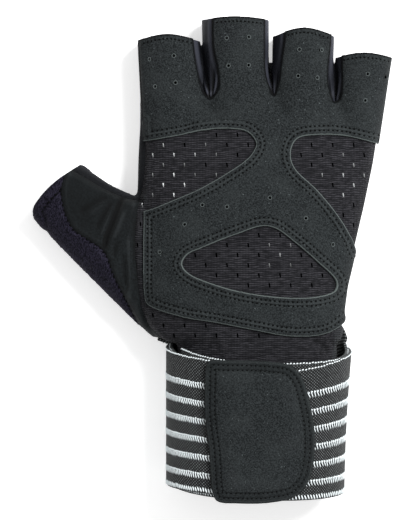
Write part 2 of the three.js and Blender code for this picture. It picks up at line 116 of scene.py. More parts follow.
# Sections of the hand: up is a share of palm_length, left and right of palm_width, top of hand_depth and
# bottom of band_under_hand.
HAND = table(
    "up left right top bottom",
    (-0.31, -0.23, 0.54, 0.99, 1),
    (-0.22, -0.285, 0.548, 1.0, 1),
    (-0.1, -0.3, 0.565, 1.0, 0.35),
    (-0.03, -0.305, 0.583, 0.98, 0),
    (0.22, -0.312, 0.645, 0.89, 0),
    (0.4, -0.308, 0.685, 0.8, 0),
    (0.54, -0.3, 0.7, 0.7, 0),
    (0.64, -0.3, 0.71, 0.55, 0),
)
# Fingers: root and tip are left and right edges in shares of palm_width, reach and hem shares of
# finger_reach, and depth a share of hand_depth.
FINGERS = table(
    "name root tip reach hem depth",
    ("index", (-0.285, -0.012), (-0.315, -0.051), 0.78, 0.09, 0.64),
    ("middle", (-0.022, 0.252), (-0.041, 0.243), 1.0, 0.04, 0.66),
    ("ring", (0.248, 0.512), (0.263, 0.519), 0.86, 0.11, 0.64),
    ("little", (0.508, 0.685), (0.527, 0.762), 0.55, 0.06, 0.58),
)
finger_root_share = 0.4
root_depth_share = 1.06
# Webs between the fingers: front and back are shares of finger_reach, height of hand_depth.
WEBS = table(
    "front back height",
    (0.0, 0.44, 0.56),
    (0.02, 0.46, 0.56),
    (-0.13, 0.1, 0.5),
)
web_depth_share = 0.3
# Sections across the thumb: along is a share of thumb_reach, low and high of palm_width, top of hand_depth.
THUMB = table(
    "along low high top",
    (-0.09, -0.4, 0.09, 0.7),
    (0.07, -0.408, 0.12, 0.76),
    (0.34, -0.408, 0.06, 0.74),
    (0.59, -0.408, -0.03, 0.68),
    (0.75, -0.406, -0.073, 0.64),
    (1.0, -0.4, -0.106, 0.6),
)
thumb_hem = 0.035
# Edges of the band: turns from the thumb side over the palm side, and shares of wrap_width.
BAND = table(
    "turn top bottom",
    (0.0, -0.04, 0.97),
    (0.25, 0.12, 1.08),
    (0.5, 0.04, 1.03),
    (0.6, -0.2, 0.95),
    (0.75, -0.22, 0.8),
    (1.0, 0.0, 0.99),
    (1.25, 0.19, 1.11),
    (1.5, 0.04, 1.06),
    (1.75, -0.12, 0.89),
    (2.0, 0.01, 1.0),
    (2.25, 0.14, 1.09),
)
# Seams and outlines on the palm side, in shares of palm_width and palm_length.
PALM_SEAM = (
    (-0.3, 0.93), (-0.288, 0.72), (-0.28, 0.59), (-0.277, 0.48), (-0.279, 0.37), (-0.291, 0.29),
    (-0.312, 0.19), (-0.32, 0.06), (-0.313, -0.04), (-0.293, -0.18), (-0.262, -0.26),
)
OVERLAY_FOOT = (
    (-0.28, 0.19), (-0.283, 0.06), (-0.277, -0.12), (-0.262, -0.17), (-0.12, -0.222), (0.02, -0.245),
    (0.18, -0.275), (0.33, -0.3), (0.45, -0.295), (0.52, -0.27), (0.6, -0.2),
)
THUMB_SIDE_WINDOW = (
    (-0.4, 0.478), (-0.277, 0.482), (-0.14, 0.503), (-0.02, 0.524), (0.08, 0.529), (0.155, 0.515),
    (0.19, 0.47), (0.165, 0.418), (0.06, 0.345), (-0.05, 0.285), (-0.19, 0.228), (-0.27, 0.199),
    (-0.4, 0.18),
)
LITTLE_SIDE_WINDOW = (
    (0.85, 0.452), (0.705, 0.472), (0.58, 0.499), (0.46, 0.505), (0.36, 0.488), (0.332, 0.43), (0.35, 0.37),
    (0.44, 0.285), (0.53, 0.18), (0.585, 0.09), (0.62, 0.02), (0.85, -0.03),
)
HEEL_WINDOW = (
    (0.215, 0.139), (0.11, 0.108), (-0.03, 0.055), (-0.1, 0.023), (-0.12, -0.015), (-0.09, -0.052),
    (0.02, -0.096), (0.16, -0.13), (0.32, -0.147), (0.45, -0.142), (0.515, -0.118), (0.52, -0.08),
    (0.44, 0.0), (0.35, 0.075), (0.27, 0.13),
)
FOURCHETTES = (
    ((-0.09, 1.05), (-0.082, 0.88), (-0.066, 0.77), (-0.045, 0.69), (0.0, 0.652), (0.035, 0.69),
     (0.033, 0.77), (0.015, 0.86), (0.014, 1.05)),
    ((0.22, 1.05), (0.218, 0.86), (0.222, 0.75), (0.238, 0.7), (0.268, 0.662), (0.29, 0.71),
     (0.302, 0.8), (0.315, 0.9), (0.318, 1.05)),
    ((0.505, 1.0), (0.495, 0.87), (0.485, 0.77), (0.488, 0.7), (0.515, 0.634), (0.548, 0.65),
     (0.558, 0.72), (0.557, 0.8), (0.57, 1.0)),
)
THUMB_BACK_SEAM = ((-0.32, 1.2), (-0.32, 0.5), (-0.32, 0.27), (-0.3, 0.1), (-0.28, -0.1), (-0.24, -0.25))
LITTLE_FINGER_EDGE = ((0.52, -0.34), (0.66, 0.3), (0.7, 0.55))
PUNCHES = (
    (-0.252, 0.81), (-0.157, 0.823), (-0.23, 0.7), (-0.15, 0.715), (0.068, 0.894), (0.156, 0.898),
    (0.075, 0.783), (0.155, 0.785), (0.372, 0.848), (0.459, 0.847), (0.367, 0.742), (0.442, 0.735),
    (0.657, 0.751), (0.734, 0.74), (0.646, 0.644), (0.067, 0.215), (0.246, 0.251), (0.395, 0.17),
    (0.506, 0.066), (-0.108, 0.145), (-0.21, 0.035), (-0.035, 0.223),
)
SLIT_ORIGIN = (-0.155, 0.425)
STRIP_VENTS = ((-0.296, 0.148), (-0.308, 0.064), (-0.286, 0.231))
# Painted light seen through the vents: where the pale patches under them lie, how pale they are in the
# middle and how far that reaches
PAINTED_LIGHT_SPOTS = table(
    "at reach pale",
    ((-0.2, 0.32), 19.0, 1.0),
    ((0.55, 0.3), 13.0, 0.5),
    ((0.28, 0.03), 9.0, 0.3),
)
# Stripes of the band in millimetres: the middle below its top edge, half the length of a yarn, half its
# width and how far it slants
stripe_pitch = 8.3
STRIPES = table(
    "across half width slant",
    (0.3, 0.34, 0.62, 0.1),
    *((12.6 + stripe_pitch * k, 1.7, 0.27, 0.65) for k in range(6)),
    *((11.5 + stripe_pitch * k, 0.5, 0.4, 0.2) for k in range(6)),
    (60.6, 1.25, 0.36, 0.4),
)
# Seams of the thumb, in shares of palm_width across it and thumb_reach along it.
GUSSET_LINE = (
    (-0.177, 1.16), (-0.147, 1.0), (-0.125, 0.883), (-0.104, 0.767), (-0.084, 0.687), (-0.062, 0.617),
    (-0.027, 0.546),
)
TERRY_SEAM = (
    (-0.091, 1.08), (-0.166, 0.998), (-0.223, 0.951), (-0.285, 0.842), (-0.316, 0.719), (-0.303, 0.613),
    (-0.29, 0.519), (-0.3, 0.449), (-0.331, 0.361), (-0.376, 0.17), (-0.404, 0.049),
)
# The closure tab, in shares of tab_width and tab_length from its middle.
TAB = (
    (-0.47, 0.47), (-0.3, 0.48), (0.1, 0.47), (0.28, 0.445), (0.38, 0.37), (0.455, 0.2), (0.5, 0.0),
    (0.495, -0.2), (0.44, -0.36), (0.32, -0.455), (0.1, -0.495), (-0.2, -0.5), (-0.39, -0.485),
    (-0.43, -0.43), (-0.46, -0.15), (-0.5, 0.1), (-0.5, 0.3),
)
tab_middle = (wrist_middle_x + 0.02 * wrist_width, wrap_top_y - 0.605 * wrap_width)


# Curves and outlines
def unit(vectors):
    """The directions of vectors, one in each row."""
    return vectors / np.maximum(np.linalg.norm(vectors, axis=1, keepdims=True), 1e-12)


def smooth_line(points, steps=8, closed=False):
    """A centripetal Catmull-Rom curve through 2-D points."""
    pts = np.asarray(points, float)
    if closed:
        ext = np.vstack([pts[-1], pts, pts[0], pts[1]])
    else:
        ext = np.vstack([2 * pts[0] - pts[1], pts, 2 * pts[-1] - pts[-2]])
    out = []
    t = np.linspace(0, 1, steps, endpoint=False)[:, None]
    for p0, p1, p2, p3 in zip(ext, ext[1:], ext[2:], ext[3:]):
        d0, d1, d2 = (max(np.linalg.norm(b - a), 1e-6) ** 0.5 for a, b in ((p0, p1), (p1, p2), (p2, p3)))
        m1 = ((p1 - p0) / d0 - (p2 - p0) / (d0 + d1) + (p2 - p1) / d1) * d1
        m2 = ((p2 - p1) / d1 - (p3 - p1) / (d1 + d2) + (p3 - p2) / d2) * d1
        out.append(p1 + m1 * t + (3 * (p2 - p1) - 2 * m1 - m2) * t**2 + (2 * (p1 - p2) + m1 + m2) * t**3)
    line = np.vstack(out)
    return line if closed else np.vstack([line, pts[-1]])


def in_palm(points):
    return np.asarray(points) * (palm_width, palm_length)


def along_thumb(points):
    return np.asarray(points) * (palm_width, thumb_reach)


def side_of(line, side):
    """The outline of all that lies on the +X (1) or -X (-1) side of a line that runs down the glove."""
    outside = [(line[-1][0], -far), (side * far, -far), (side * far, far), (line[0][0], far)]
    return np.vstack([line, outside])


def turned(points, angle):
    """Points turned in the plan, about the origin."""
    x, y = points[:, 0], points[:, 1]
    c, s = math.cos(angle), math.sin(angle)
    return np.column_stack([x * c - y * s, x * s + y * c, *points[:, 2:].T])


def to_thumb(points):
    """Points in the thumb's own frame, in which it runs along +Y."""
    return turned(points, -thumb_angle)


def turned_like_thumb(points):
    return turned(points, thumb_angle)


def by_chunks(points, work, chunk=20000):
    """Work on the plan of many points, a chunk at a time to spare memory."""
    starts = range(0, max(len(points), 1), chunk)
    return np.concatenate([work(points[low:low + chunk, None, :2]) for low in starts])


def nearest_gap(p, start, edge):
    """How far points lie from the nearest of some straight edges."""
    rel = p - start
    share = np.clip((rel * edge).sum(2) / np.maximum((edge**2).sum(1), 1e-12), 0, 1)
    return np.sqrt(((rel - share[..., None] * edge) ** 2).sum(2)).min(1)


def distance_to_line(points, line):
    return by_chunks(points, lambda p: nearest_gap(p, line[:-1], np.diff(line, axis=0)))


def distance_inside(points, outline):
    """How far 2-D points lie inside a closed outline, negative outside it."""
    start = np.asarray(outline)
    edge = np.roll(start, -1, axis=0) - start
    slope = np.where(edge[:, 1] == 0, 1e-12, edge[:, 1])

    def signed(p):
        above = p[..., 1] < start[:, 1]
        above_next = p[..., 1] < np.roll(start[:, 1], -1)
        crosses = (above != above_next) & (
            p[..., 0] < start[:, 0] + (p[..., 1] - start[:, 1]) * edge[:, 0] / slope)
        gap = nearest_gap(p, start, edge)
        return np.where(crosses.sum(1) % 2, gap, -gap)
    return by_chunks(points, signed)


def inside(outline, grow=0.0):
    return lambda p: distance_inside(p, outline) + grow


def outside(outline, grow=0.0):
    return lambda p: -distance_inside(p, outline) - grow


def in_thumb_frame(field):
    return lambda p: field(to_thumb(p))


def beyond(axis, value):
    """How far points lie past a value on one axis."""
    return lambda p: p[:, axis] - value


def short_of(axis, value):
    return lambda p: value - p[:, axis]


def either(*fields):
    return lambda p: np.max([field(p) for field in fields], axis=0)


def both(*fields):
    return lambda p: np.min([field(p) for field in fields], axis=0)


# The rounded sections of the hand, the fingers and the thumb
def bulge(value):
    return np.sign(value) * np.abs(value) ** (2 / roundness)


def section_points(row, turns, grow=0.0):
    """Points round a section with a flat underside. turns run from the left over the top to the right."""
    angle = np.pi * (1 - 2 * np.asarray(turns))
    widest = row["bottom"] + (row["top"] - row["bottom"]) * widest_share
    across = (row["right"] - row["left"]) / 2 + grow
    rise = bulge(np.sin(angle))
    upward = row["top"] - widest + grow
    downward = (widest - row["bottom"]) * underside_share + grow
    z = np.maximum(widest + rise * np.where(rise > 0, upward, downward), row["bottom"] - grow)
    x = (row["left"] + row["right"]) / 2 + across * bulge(np.cos(angle))
    return np.column_stack([x, np.full_like(x, row["along"]), z])


def section(along, left, right, bottom, top):
    return dict(along=along, left=left, right=right, bottom=bottom, top=top)


def trunk_rows():
    half = wrist_width / 2
    cuff = (wrist_middle_x - half, wrist_middle_x + half, band_under_hand, band_under_hand + wrist_depth)
    hand = [section(r["up"] * palm_length, r["left"] * palm_width, r["right"] * palm_width,
                    r["bottom"] * band_under_hand, r["top"] * hand_depth) for r in HAND]
    return [section(wrap_end_y, *cuff), section(wrap_top_y + 0.02 * wrap_width, *cuff), *hand]


def row_at(rows, along):
    """The section at a place between two rows of a table."""
    places = np.array([r["along"] for r in rows])
    i = int(np.clip(np.searchsorted(places, along) - 1, 0, len(rows) - 2))
    share = (along - places[i]) / (places[i + 1] - places[i])
    return {key: rows[i][key] + (rows[i + 1][key] - rows[i][key]) * share for key in rows[0]}


TRUNK = trunk_rows()


def tube_mesh(rows, sides=section_sides):
    """A closed tube through finely spaced sections."""
    start, end = rows[0]["along"], rows[-1]["along"]
    count = max(2, int((end - start) / ring_step))
    turns = np.arange(sides) / sides
    rings = [section_points(row_at(rows, a), turns) for a in np.linspace(start, end, count + 1)]
    verts = np.vstack(rings)
    faces = []
    for r in range(count):
        for i in range(sides):
            j = (i + 1) % sides
            faces.append((r * sides + i, r * sides + j, (r + 1) * sides + j, (r + 1) * sides + i))
    faces.append(tuple(range(sides))[::-1])
    faces.append(tuple(count * sides + i for i in range(sides)))
    return verts, faces


def web_mesh(row, left, right):
    """A sloped wedge that fills the crotch between two fingers."""
    front, back = crotch_y + row["front"] * finger_reach, crotch_y + row["back"] * finger_reach
    root, top = crotch_y - web_depth_share * palm_length, row["height"] * hand_depth
    profile = [(root, 0), (back, 0), (back, 1), (front, top), (root, top)]
    verts = [(x, y, z) for x in (left, right) for y, z in profile]
    n = len(profile)
    faces = [tuple(range(n))[::-1], tuple(range(n, 2 * n))]
    faces += [(i, (i + 1) % n, n + (i + 1) % n, n + i) for i in range(n)]
    return np.array(verts, float), faces


def finger_tip_y(finger):
    return crotch_y + finger["reach"] * finger_reach


def finger_rows(finger):
    depth = finger["depth"] * hand_depth
    root_edges, tip_edges = (np.array(finger[end]) * palm_width for end in ("root", "tip"))
    root = section(finger_root_share * palm_length, *root_edges, 0.0, root_depth_share * depth)
    beyond_tip = finger_tip_y(finger) + 2 * finger["hem"] * finger_reach
    tip = section(beyond_tip, *tip_edges, 0.0, depth)
    return [root, row_at([root, tip], beyond_tip + 6)]


def thumb_rows():
    rows = [section(r["along"] * thumb_reach, r["low"] * palm_width, r["high"] * palm_width, 0.0,
                    r["top"] * hand_depth) for r in THUMB]
    return [*rows, dict(rows[-1], along=1.15 * thumb_reach)]


# Meshes as arrays: p are places, n normals and t triangles
def first_to_front(triangles, marked):
    """The same triangles, each turned so that its one marked corner comes first."""
    if len(triangles) == 0:
        return triangles
    start = np.argmax(marked[triangles], axis=1)
    order = (start[:, None] + np.arange(3)) % 3
    return np.take_along_axis(triangles, order, axis=1)


def triangle_sides(t):
    return np.vstack([t[:, [0, 1]], t[:, [1, 2]], t[:, [2, 0]]])


class Sheet:
    """A surface of triangles with a normal at each point."""

    def __init__(self, p, n, t):
        self.p, self.n, self.t = p, n, t

    def pruned(self):
        used, index = np.unique(self.t, return_inverse=True)
        return Sheet(self.p[used], self.n[used], index.reshape(-1, 3))

    def clip(self, field, snap=0.12):
        """The part on which a field of signed distances is positive, cut exactly along its zero line."""
        f = field(self.p)
        f[np.abs(f) < snap] = 0.0
        corners = f[self.t]
        touched = self.t[(corners > 0).any(1)]
        held = (f[touched] >= 0).sum(1)
        parts = [touched[held == 3]]
        # Each cut triangle starts at the corner that is alone on its side.
        lone_in = first_to_front(touched[held == 1], f >= 0)
        lone_out = first_to_front(touched[held == 2], f < 0)
        pairs = np.vstack([lone_in[:, [0, 1]], lone_in[:, [0, 2]], lone_out[:, [1, 0]], lone_out[:, [2, 0]]])
        if len(pairs) == 0:
            return Sheet(self.p, self.n, parts[0]).pruned()
        unique, index = np.unique(pairs, axis=0, return_inverse=True)
        held_end, cut_end = unique.T
        share = (f[held_end] / (f[held_end] - f[cut_end]))[:, None]
        p = self.p[held_end] * (1 - share) + self.p[cut_end] * share
        n = self.n[held_end] * (1 - share) + self.n[cut_end] * share
        n = unit(n)
        ids = np.where(f[held_end] == 0, held_end, len(self.p) + np.arange(len(unique)))[index.ravel()]
        one, two = len(lone_in), len(lone_out)
        in_b, in_c, out_b, out_c = np.split(ids, [one, 2 * one, 2 * one + two])
        parts.append(np.column_stack([lone_in[:, 0], in_b, in_c]))
        parts.append(np.column_stack([out_b, lone_out[:, 1], lone_out[:, 2]]))
        parts.append(np.column_stack([out_b, lone_out[:, 2], out_c]))
        t = np.vstack(parts)
        t = t[(t[:, 0] != t[:, 1]) & (t[:, 1] != t[:, 2]) & (t[:, 2] != t[:, 0])]
        return Sheet(np.vstack([self.p, p]), np.vstack([self.n, n]), t).pruned()

    def cut(self, *fields):
        sheet = self
        for field in fields:
            sheet = sheet.clip(field)
        return sheet

    def refined(self):
        """Each triangle split in four."""
        edges = np.sort(triangle_sides(self.t), axis=1)
        uniq, index = np.unique(edges, axis=0, return_inverse=True)
        mid = len(self.p) + index.reshape(3, -1).T
        p = np.vstack([self.p, self.p[uniq].mean(1)])
        n = np.vstack([self.n, self.n[uniq].mean(1)])
        n = unit(n)
        a, b, c = self.t.T
        ab, bc, ca = mid.T
        t = np.vstack([np.column_stack(q) for q in ((a, ab, ca), (ab, b, bc), (ca, bc, c), (ab, bc, ca))])
        return Sheet(p, n, t)

    def border(self):
        """The directed edges that belong to one triangle only."""
        edges = triangle_sides(self.t)
        key = edges.min(1).astype(np.int64) * len(self.p) + edges.max(1)
        _, index, count = np.unique(key, return_inverse=True, return_counts=True)
        return edges[count[index] == 1]


def neighbour_mean(values, edges, count):
    total = np.zeros((count, values.shape[1]))
    np.add.at(total, edges[:, 0], values[edges[:, 1]])
    np.add.at(total, edges[:, 1], values[edges[:, 0]])
    degree = np.bincount(edges.ravel(), minlength=count)
    return total / np.maximum(degree, 1)[:, None]


def vertex_normals(p, t):
    face = np.cross(p[t[:, 1]] - p[t[:, 0]], p[t[:, 2]] - p[t[:, 0]])
    n = np.zeros_like(p)
    for k in range(3):
        np.add.at(n, t[:, k], face)
    return unit(n)


def unique_edges(t):
    return np.unique(np.sort(triangle_sides(t), axis=1), axis=0)


def mesh_from(name, verts, faces):
    mesh = bpy.data.meshes.new(name)
    mesh.from_pydata((np.asarray(verts) * MM).tolist(), [], [tuple(f) for f in faces])
    mesh.validate()
    return mesh


def object_from(name, mesh):
    obj = bpy.data.objects.new(name, mesh)
    bpy.context.scene.collection.objects.link(obj)
    return obj


def triangles_of(mesh):
    mesh.calc_loop_triangles()
    p = np.empty(len(mesh.vertices) * 3)
    mesh.vertices.foreach_get("co", p)
    t = np.empty(len(mesh.loop_triangles) * 3, int)
    mesh.loop_triangles.foreach_get("vertices", t)
    return p.reshape(-1, 3) / MM, t.reshape(-1, 3)


# The soft form of the whole hand: overlapping tubes and webs, melted together and smoothed.
# The narrow gaps between the fingers are spread while it melts, so that they stay open.
gap_spread = 1.1
gap_reach = 1.0


def gap_lines(y):
    """Where the middles of the gaps between the fingers are at each y, one column each."""
    def edge(finger, key):
        root, tip = finger_rows(finger)
        share = (y - root["along"]) / (tip["along"] - root["along"])
        return root[key] + (tip[key] - root[key]) * share
    pairs = zip(FINGERS, FINGERS[1:])
    return np.column_stack([(edge(one, "right") + edge(other, "left")) / 2 for one, other in pairs])


def spread_of(x, y):
    """How far a point moves when the gaps are spread, and how fast that changes with x."""
    amount = gap_spread * np.clip((y - crotch_y + 4) / 12, 0, 1)
    rel = np.tanh((x[:, None] - gap_lines(y)) / gap_reach)
    return amount * rel.sum(1), amount * ((1 - rel**2) / gap_reach).sum(1)


def spread_apart(p):
    return np.column_stack([p[:, 0] + spread_of(p[:, 0], p[:, 1])[0], p[:, 1:]])


def gathered(p):
    x = p[:, 0].copy()
    for _ in range(20):
        moved, rate = spread_of(x, p[:, 1])
        x -= (x + moved - p[:, 0]) / (1 + rate)
    return np.column_stack([x, p[:, 1:]])


def soft_hand():
    parts = [tube_mesh(TRUNK)]
    parts += [tube_mesh(finger_rows(f), 64) for f in FINGERS]
    middles = [sum(f["root"]) / 2 * palm_width for f in FINGERS]
    parts += [web_mesh(row, middles[i], middles[i + 1]) for i, row in enumerate(WEBS)]
    thumb, faces = tube_mesh(thumb_rows())
    parts.append((turned_like_thumb(thumb), faces))
    verts, faces = [], []
    for v, f in parts:
        offset = sum(len(x) for x in verts)
        verts.append(spread_apart(v))
        faces += [tuple(i + offset for i in face) for face in f]
    rough = object_from("rough_hand", mesh_from("rough_hand", np.vstack(verts), faces))
    remesh = rough.modifiers.new("melt", "REMESH")
    remesh.mode = "VOXEL"
    remesh.voxel_size = voxel * MM
    deps = bpy.context.evaluated_depsgraph_get()
    p, t = triangles_of(rough.evaluated_get(deps).to_mesh())
    bpy.data.objects.remove(rough)
    return relaxed(gathered(p), t)


# The melted hand is smoothed a little everywhere, and fully at the crotches of the fingers and the thumb.
even_smoothing = 0.15
smoothing_rounds, smoothing_step = 14, 0.6
fairing_rounds, fairing_steps = 6, (0.5, -0.52)


def relaxed(p, t):
    edges = unique_edges(t)
    crotch = np.exp(-((p[:, 1] - 80) / 14) ** 2) * (p[:, 0] > -20)
    thumb_root = np.exp(-(((p[:, 0] + 30) / 14) ** 2 + ((p[:, 1] - 8) / 30) ** 2))
    weight = np.clip(even_smoothing + crotch + thumb_root, 0, 1)[:, None]
    for _ in range(smoothing_rounds):
        p = p + smoothing_step * weight * (neighbour_mean(p, edges, len(p)) - p)
    for _ in range(fairing_rounds):
        for step in fairing_steps:
            p = p + step * (neighbour_mean(p, edges, len(p)) - p)
    return p, t


# Seams and outlines of the panels in millimetres
cuff_corner = [(cuff_seam_x, wrap_top_y)]
palm_line = np.vstack([smooth_line(in_palm(PALM_SEAM)), cuff_corner])
back_line = np.vstack([smooth_line(in_palm(THUMB_BACK_SEAM)), cuff_corner])
gusset_line = smooth_line(along_thumb(GUSSET_LINE))
terry_line = smooth_line(along_thumb(TERRY_SEAM))
foot_line = smooth_line(in_palm(OVERLAY_FOOT))
WINDOWS = (THUMB_SIDE_WINDOW, LITTLE_SIDE_WINDOW, HEEL_WINDOW)
windows = [smooth_line(in_palm(loop), closed=True) for loop in WINDOWS]
fourchette_loops = [smooth_line(in_palm(loop)) for loop in FOURCHETTES]
joint_y = finger_root_y + clearance


# Creases and folds: valleys along smooth lines in XY. A negative depth is a ridge.
FOLDS = table(
    "depth width line",
    (2.0, 1.35, ((-39.4, 29.5), (-40.9, 26), (-42.6, 22), (-45, 16), (-47.1, 10.6), (-48.2, 4))),
    (-0.5, 1.4, ((-38.6, 24), (-40.6, 18), (-42.9, 12), (-44.4, 8))),
    (1.1, 1.3, ((-43.8, 28), (-45.6, 25), (-48, 21), (-50.2, 17), (-51.6, 13))),
    (-0.6, 1.2, ((-43.4, 25.5), (-45.6, 20), (-48.1, 14), (-49.7, 10))),
    (1.0, 1.7, ((-45, 30), (-50, 27.5), (-55.2, 24.4), (-60.3, 20.7))),
    (-0.4, 1.6, ((-47, 27), (-52, 23.5), (-55.5, 20))),
    (1.0, 1.2, ((-41.8, 10.5), (-43, 6), (-43.7, 0))),
    (0.8, 1.2, ((-34.6, 20), (-35.3, 8), (-35.0, -4), (-34.2, -16))),
    (-0.5, 1.2, ((-37.2, 12), (-37.0, 2), (-36.3, -8), (-36.9, -19))),
    (0.8, 1.2, ((-39.4, 4), (-39.0, -4), (-38.6, -13))),
    (0.9, 1.4, ((44, -34.5), (48, -36), (51.5, -39), (53, -43))),
    (0.5, 0.9, ((50, -33.5), (53.5, -36), (55, -40))),
    (-1.8, 3.2, ((59, -28), (59.5, -35), (58, -43))),
    (0.5, 4.0, ((-23, -3.2), (-14.9, -10.8), (-5, -15.8), (8, -18))),
    (0.4, 3.0, ((34, -20), (37, -24), (44, -27))),
    (0.35, 2.4, ((0, 14), (12, 9), (28, 7), (38, 2))),
)
fold_rise = 4.0
fold_fade = 3.0
seam_rise = 5.0
seam_valley = 0.45
seam_valley_reach = 0.8
seam_ridge_place, seam_ridge_reach = 2.0, 1.0
pleat_depth = 0.8
fourchette_tuck = 0.4
pleat_reach = 20
pleats_a_turn = 30
pleat_margin = 1.5
seam_ridge = 0.3


# The seams of the palm side, which the thread pulls in
sewn_lines = [palm_line, *[turned_like_thumb(line) for line in (gusset_line, terry_line)]]


def fold_lift(p):
    """How far the folds and seams lift the cloth at points."""
    lift = np.zeros(len(p))
    palm = np.clip((p[:, 2] - side_seam_height) / fold_rise, 0, 1)
    for fold in FOLDS:
        line = smooth_line(fold["line"], 10)
        gap = distance_to_line(p, line)
        ends = np.min([np.linalg.norm(p[:, :2] - end, axis=1) for end in (line[0], line[-1])], axis=0)
        fade = np.clip(ends / fold_fade, 0, 1)
        lift -= fold["depth"] * np.exp(-(gap / fold["width"]) ** 2) * palm * fade
    pulled_in = np.clip((p[:, 2] - side_seam_height - fold_rise) / seam_rise, 0, 1)
    for line in sewn_lines:
        gap = distance_to_line(p, line)
        valley = seam_valley * np.exp(-(gap / seam_valley_reach) ** 2)
        ridge = seam_ridge * np.exp(-((gap - seam_ridge_place) / seam_ridge_reach) ** 2)
        lift -= pulled_in * (valley - ridge)
    return lift


def base_sheet():
    p, t = soft_hand()
    p = p + vertex_normals(p, t) * fold_lift(p)[:, None]
    edges = unique_edges(t)
    n = vertex_normals(p, t)
    for _ in range(4):
        n = neighbour_mean(n, edges, len(n))
    n = unit(n)
    return Sheet(p, n, t)


# A closed shell of cloth from a sheet: an outer face, an inner face and a rounded edge
EDGE_PROFILE = ((0.12, 0.6), (0.5, 1.0), (0.88, 0.6))
edge_bulge = 0.12


def shell(name, sheet, outer, inner, roll=0.3, relief=0.0, traits=()):
    """roll is how far the outer face turns down at its edge and relief how far it stands out, at each point
    or everywhere. traits are values at the points, by name."""
    border = sheet.border()
    count = len(sheet.p)
    ring = np.unique(border)
    level = np.full(count, float(outer))
    level += relief
    level[ring] -= roll
    top = sheet.p + sheet.n * level[:, None]
    low = sheet.p + sheet.n * (np.zeros(count) + inner)[:, None]
    place = -np.ones(count, int)
    place[ring] = np.arange(len(ring))
    out = np.zeros((len(ring), 3))
    direction = sheet.p[border[:, 1]] - sheet.p[border[:, 0]]
    direction = unit(direction)
    away = np.cross(direction, sheet.n[border[:, 0]])
    for k in range(2):
        np.add.at(out, place[border[:, k]], away)
    out = unit(out)
    rows = [top[ring] + (low[ring] - top[ring]) * share + out * reach * edge_bulge
            for share, reach in EDGE_PROFILE]
    verts = np.vstack([top, low, *rows])
    verts[:, 2] = np.maximum(verts[:, 2], 0)
    faces = [sheet.t, sheet.t[:, ::-1] + count]
    chain = [ring_ids(border, place, kind, count, len(ring)) for kind in range(len(rows) + 2)]
    for upper, lower in zip(chain, chain[1:]):
        a, b = upper.T
        c, d = lower.T
        faces.append(np.column_stack([b, a, c]))
        faces.append(np.column_stack([b, c, d]))
    mesh = fast_mesh(name, verts, np.vstack(faces))
    for trait in traits:
        values = traits[trait]
        store(mesh, trait, np.concatenate([values, values, *[values[ring]] * len(rows)]))
    return object_from(name, mesh)


def ring_ids(border, place, kind, count, size):
    """The two ends of each border edge in one row of the rounded edge: top face first, inner face last."""
    if kind == 0:
        return border
    if kind == len(EDGE_PROFILE) + 1:
        return border + count
    return 2 * count + (kind - 1) * size + place[border]


def fast_mesh(name, verts, tris):
    mesh = bpy.data.meshes.new(name)
    mesh.vertices.add(len(verts))
    mesh.vertices.foreach_set("co", (verts * MM).ravel())
    mesh.loops.add(len(tris) * 3)
    mesh.loops.foreach_set("vertex_index", tris.ravel().astype(np.int32))
    mesh.polygons.add(len(tris))
    mesh.polygons.foreach_set("loop_start", np.arange(0, len(tris) * 3, 3, dtype=np.int32))
    mesh.polygons.foreach_set("loop_total", np.full(len(tris), 3, np.int32))
    mesh.polygons.foreach_set("use_smooth", np.ones(len(tris), bool))
    mesh.update(calc_edges=True)
    mesh.validate()
    return mesh


def store(mesh, name, values):
    attribute = mesh.attributes.new(name, "FLOAT", "POINT")
    attribute.data.foreach_set("value", np.asarray(values, np.float32))


def joined_arrays(parts):
    verts, tris, offset = [], [], 0
    for v, t in parts:
        verts.append(v)
        tris.append(np.asarray(t) + offset)
        offset += len(v)
    return np.vstack(verts), np.vstack(tris)


# The surface that stitches, vents and seams sit on
class Seat:
    """Finds the places on a sheet that lie under points of the plan, and the directions away from it."""

    def __init__(self, sheet):
        self.tree = BVHTree.FromPolygons(sheet.p.tolist(), sheet.t.tolist())

    def at(self, points, level):
        down, places, normals, found = Vector((0, 0, -1)), [], [], []
        for x, y in points:
            hit, normal, _, _ = self.tree.ray_cast(Vector((x, y, far)), down)
            found.append(hit is not None)
            if hit is not None:
                places.append(hit + normal * level)
                normals.append(normal)
        return np.array(places).reshape(-1, 3), np.array(normals).reshape(-1, 3), np.array(found, bool)


def even_points(line, pitch):
    """Evenly spaced points on a line, and the direction of the line at each."""
    steps = np.diff(line, axis=0)
    lengths = np.linalg.norm(steps, axis=1)
    reach = np.concatenate([[0], np.cumsum(lengths)])
    count = max(1, int(reach[-1] / pitch))
    s = (np.arange(count) + 0.5) * reach[-1] / count
    index = np.clip(np.searchsorted(reach, s) - 1, 0, len(steps) - 1)
    points = np.column_stack([np.interp(s, reach, line[:, k]) for k in range(2)])
    return points, steps[index] / lengths[index, None]


def beside(line, distance, closed=False):
    """A line moved sideways, to the right of its direction."""
    ends = np.vstack([line[-1], line, line[0]]) if closed else np.vstack([line[0], line, line[-1]])
    along = ends[2:] - ends[:-2]
    along = unit(along)
    moved = line + np.column_stack([along[:, 1], -along[:, 0]]) * distance
    return np.vstack([moved, moved[0]]) if closed else moved


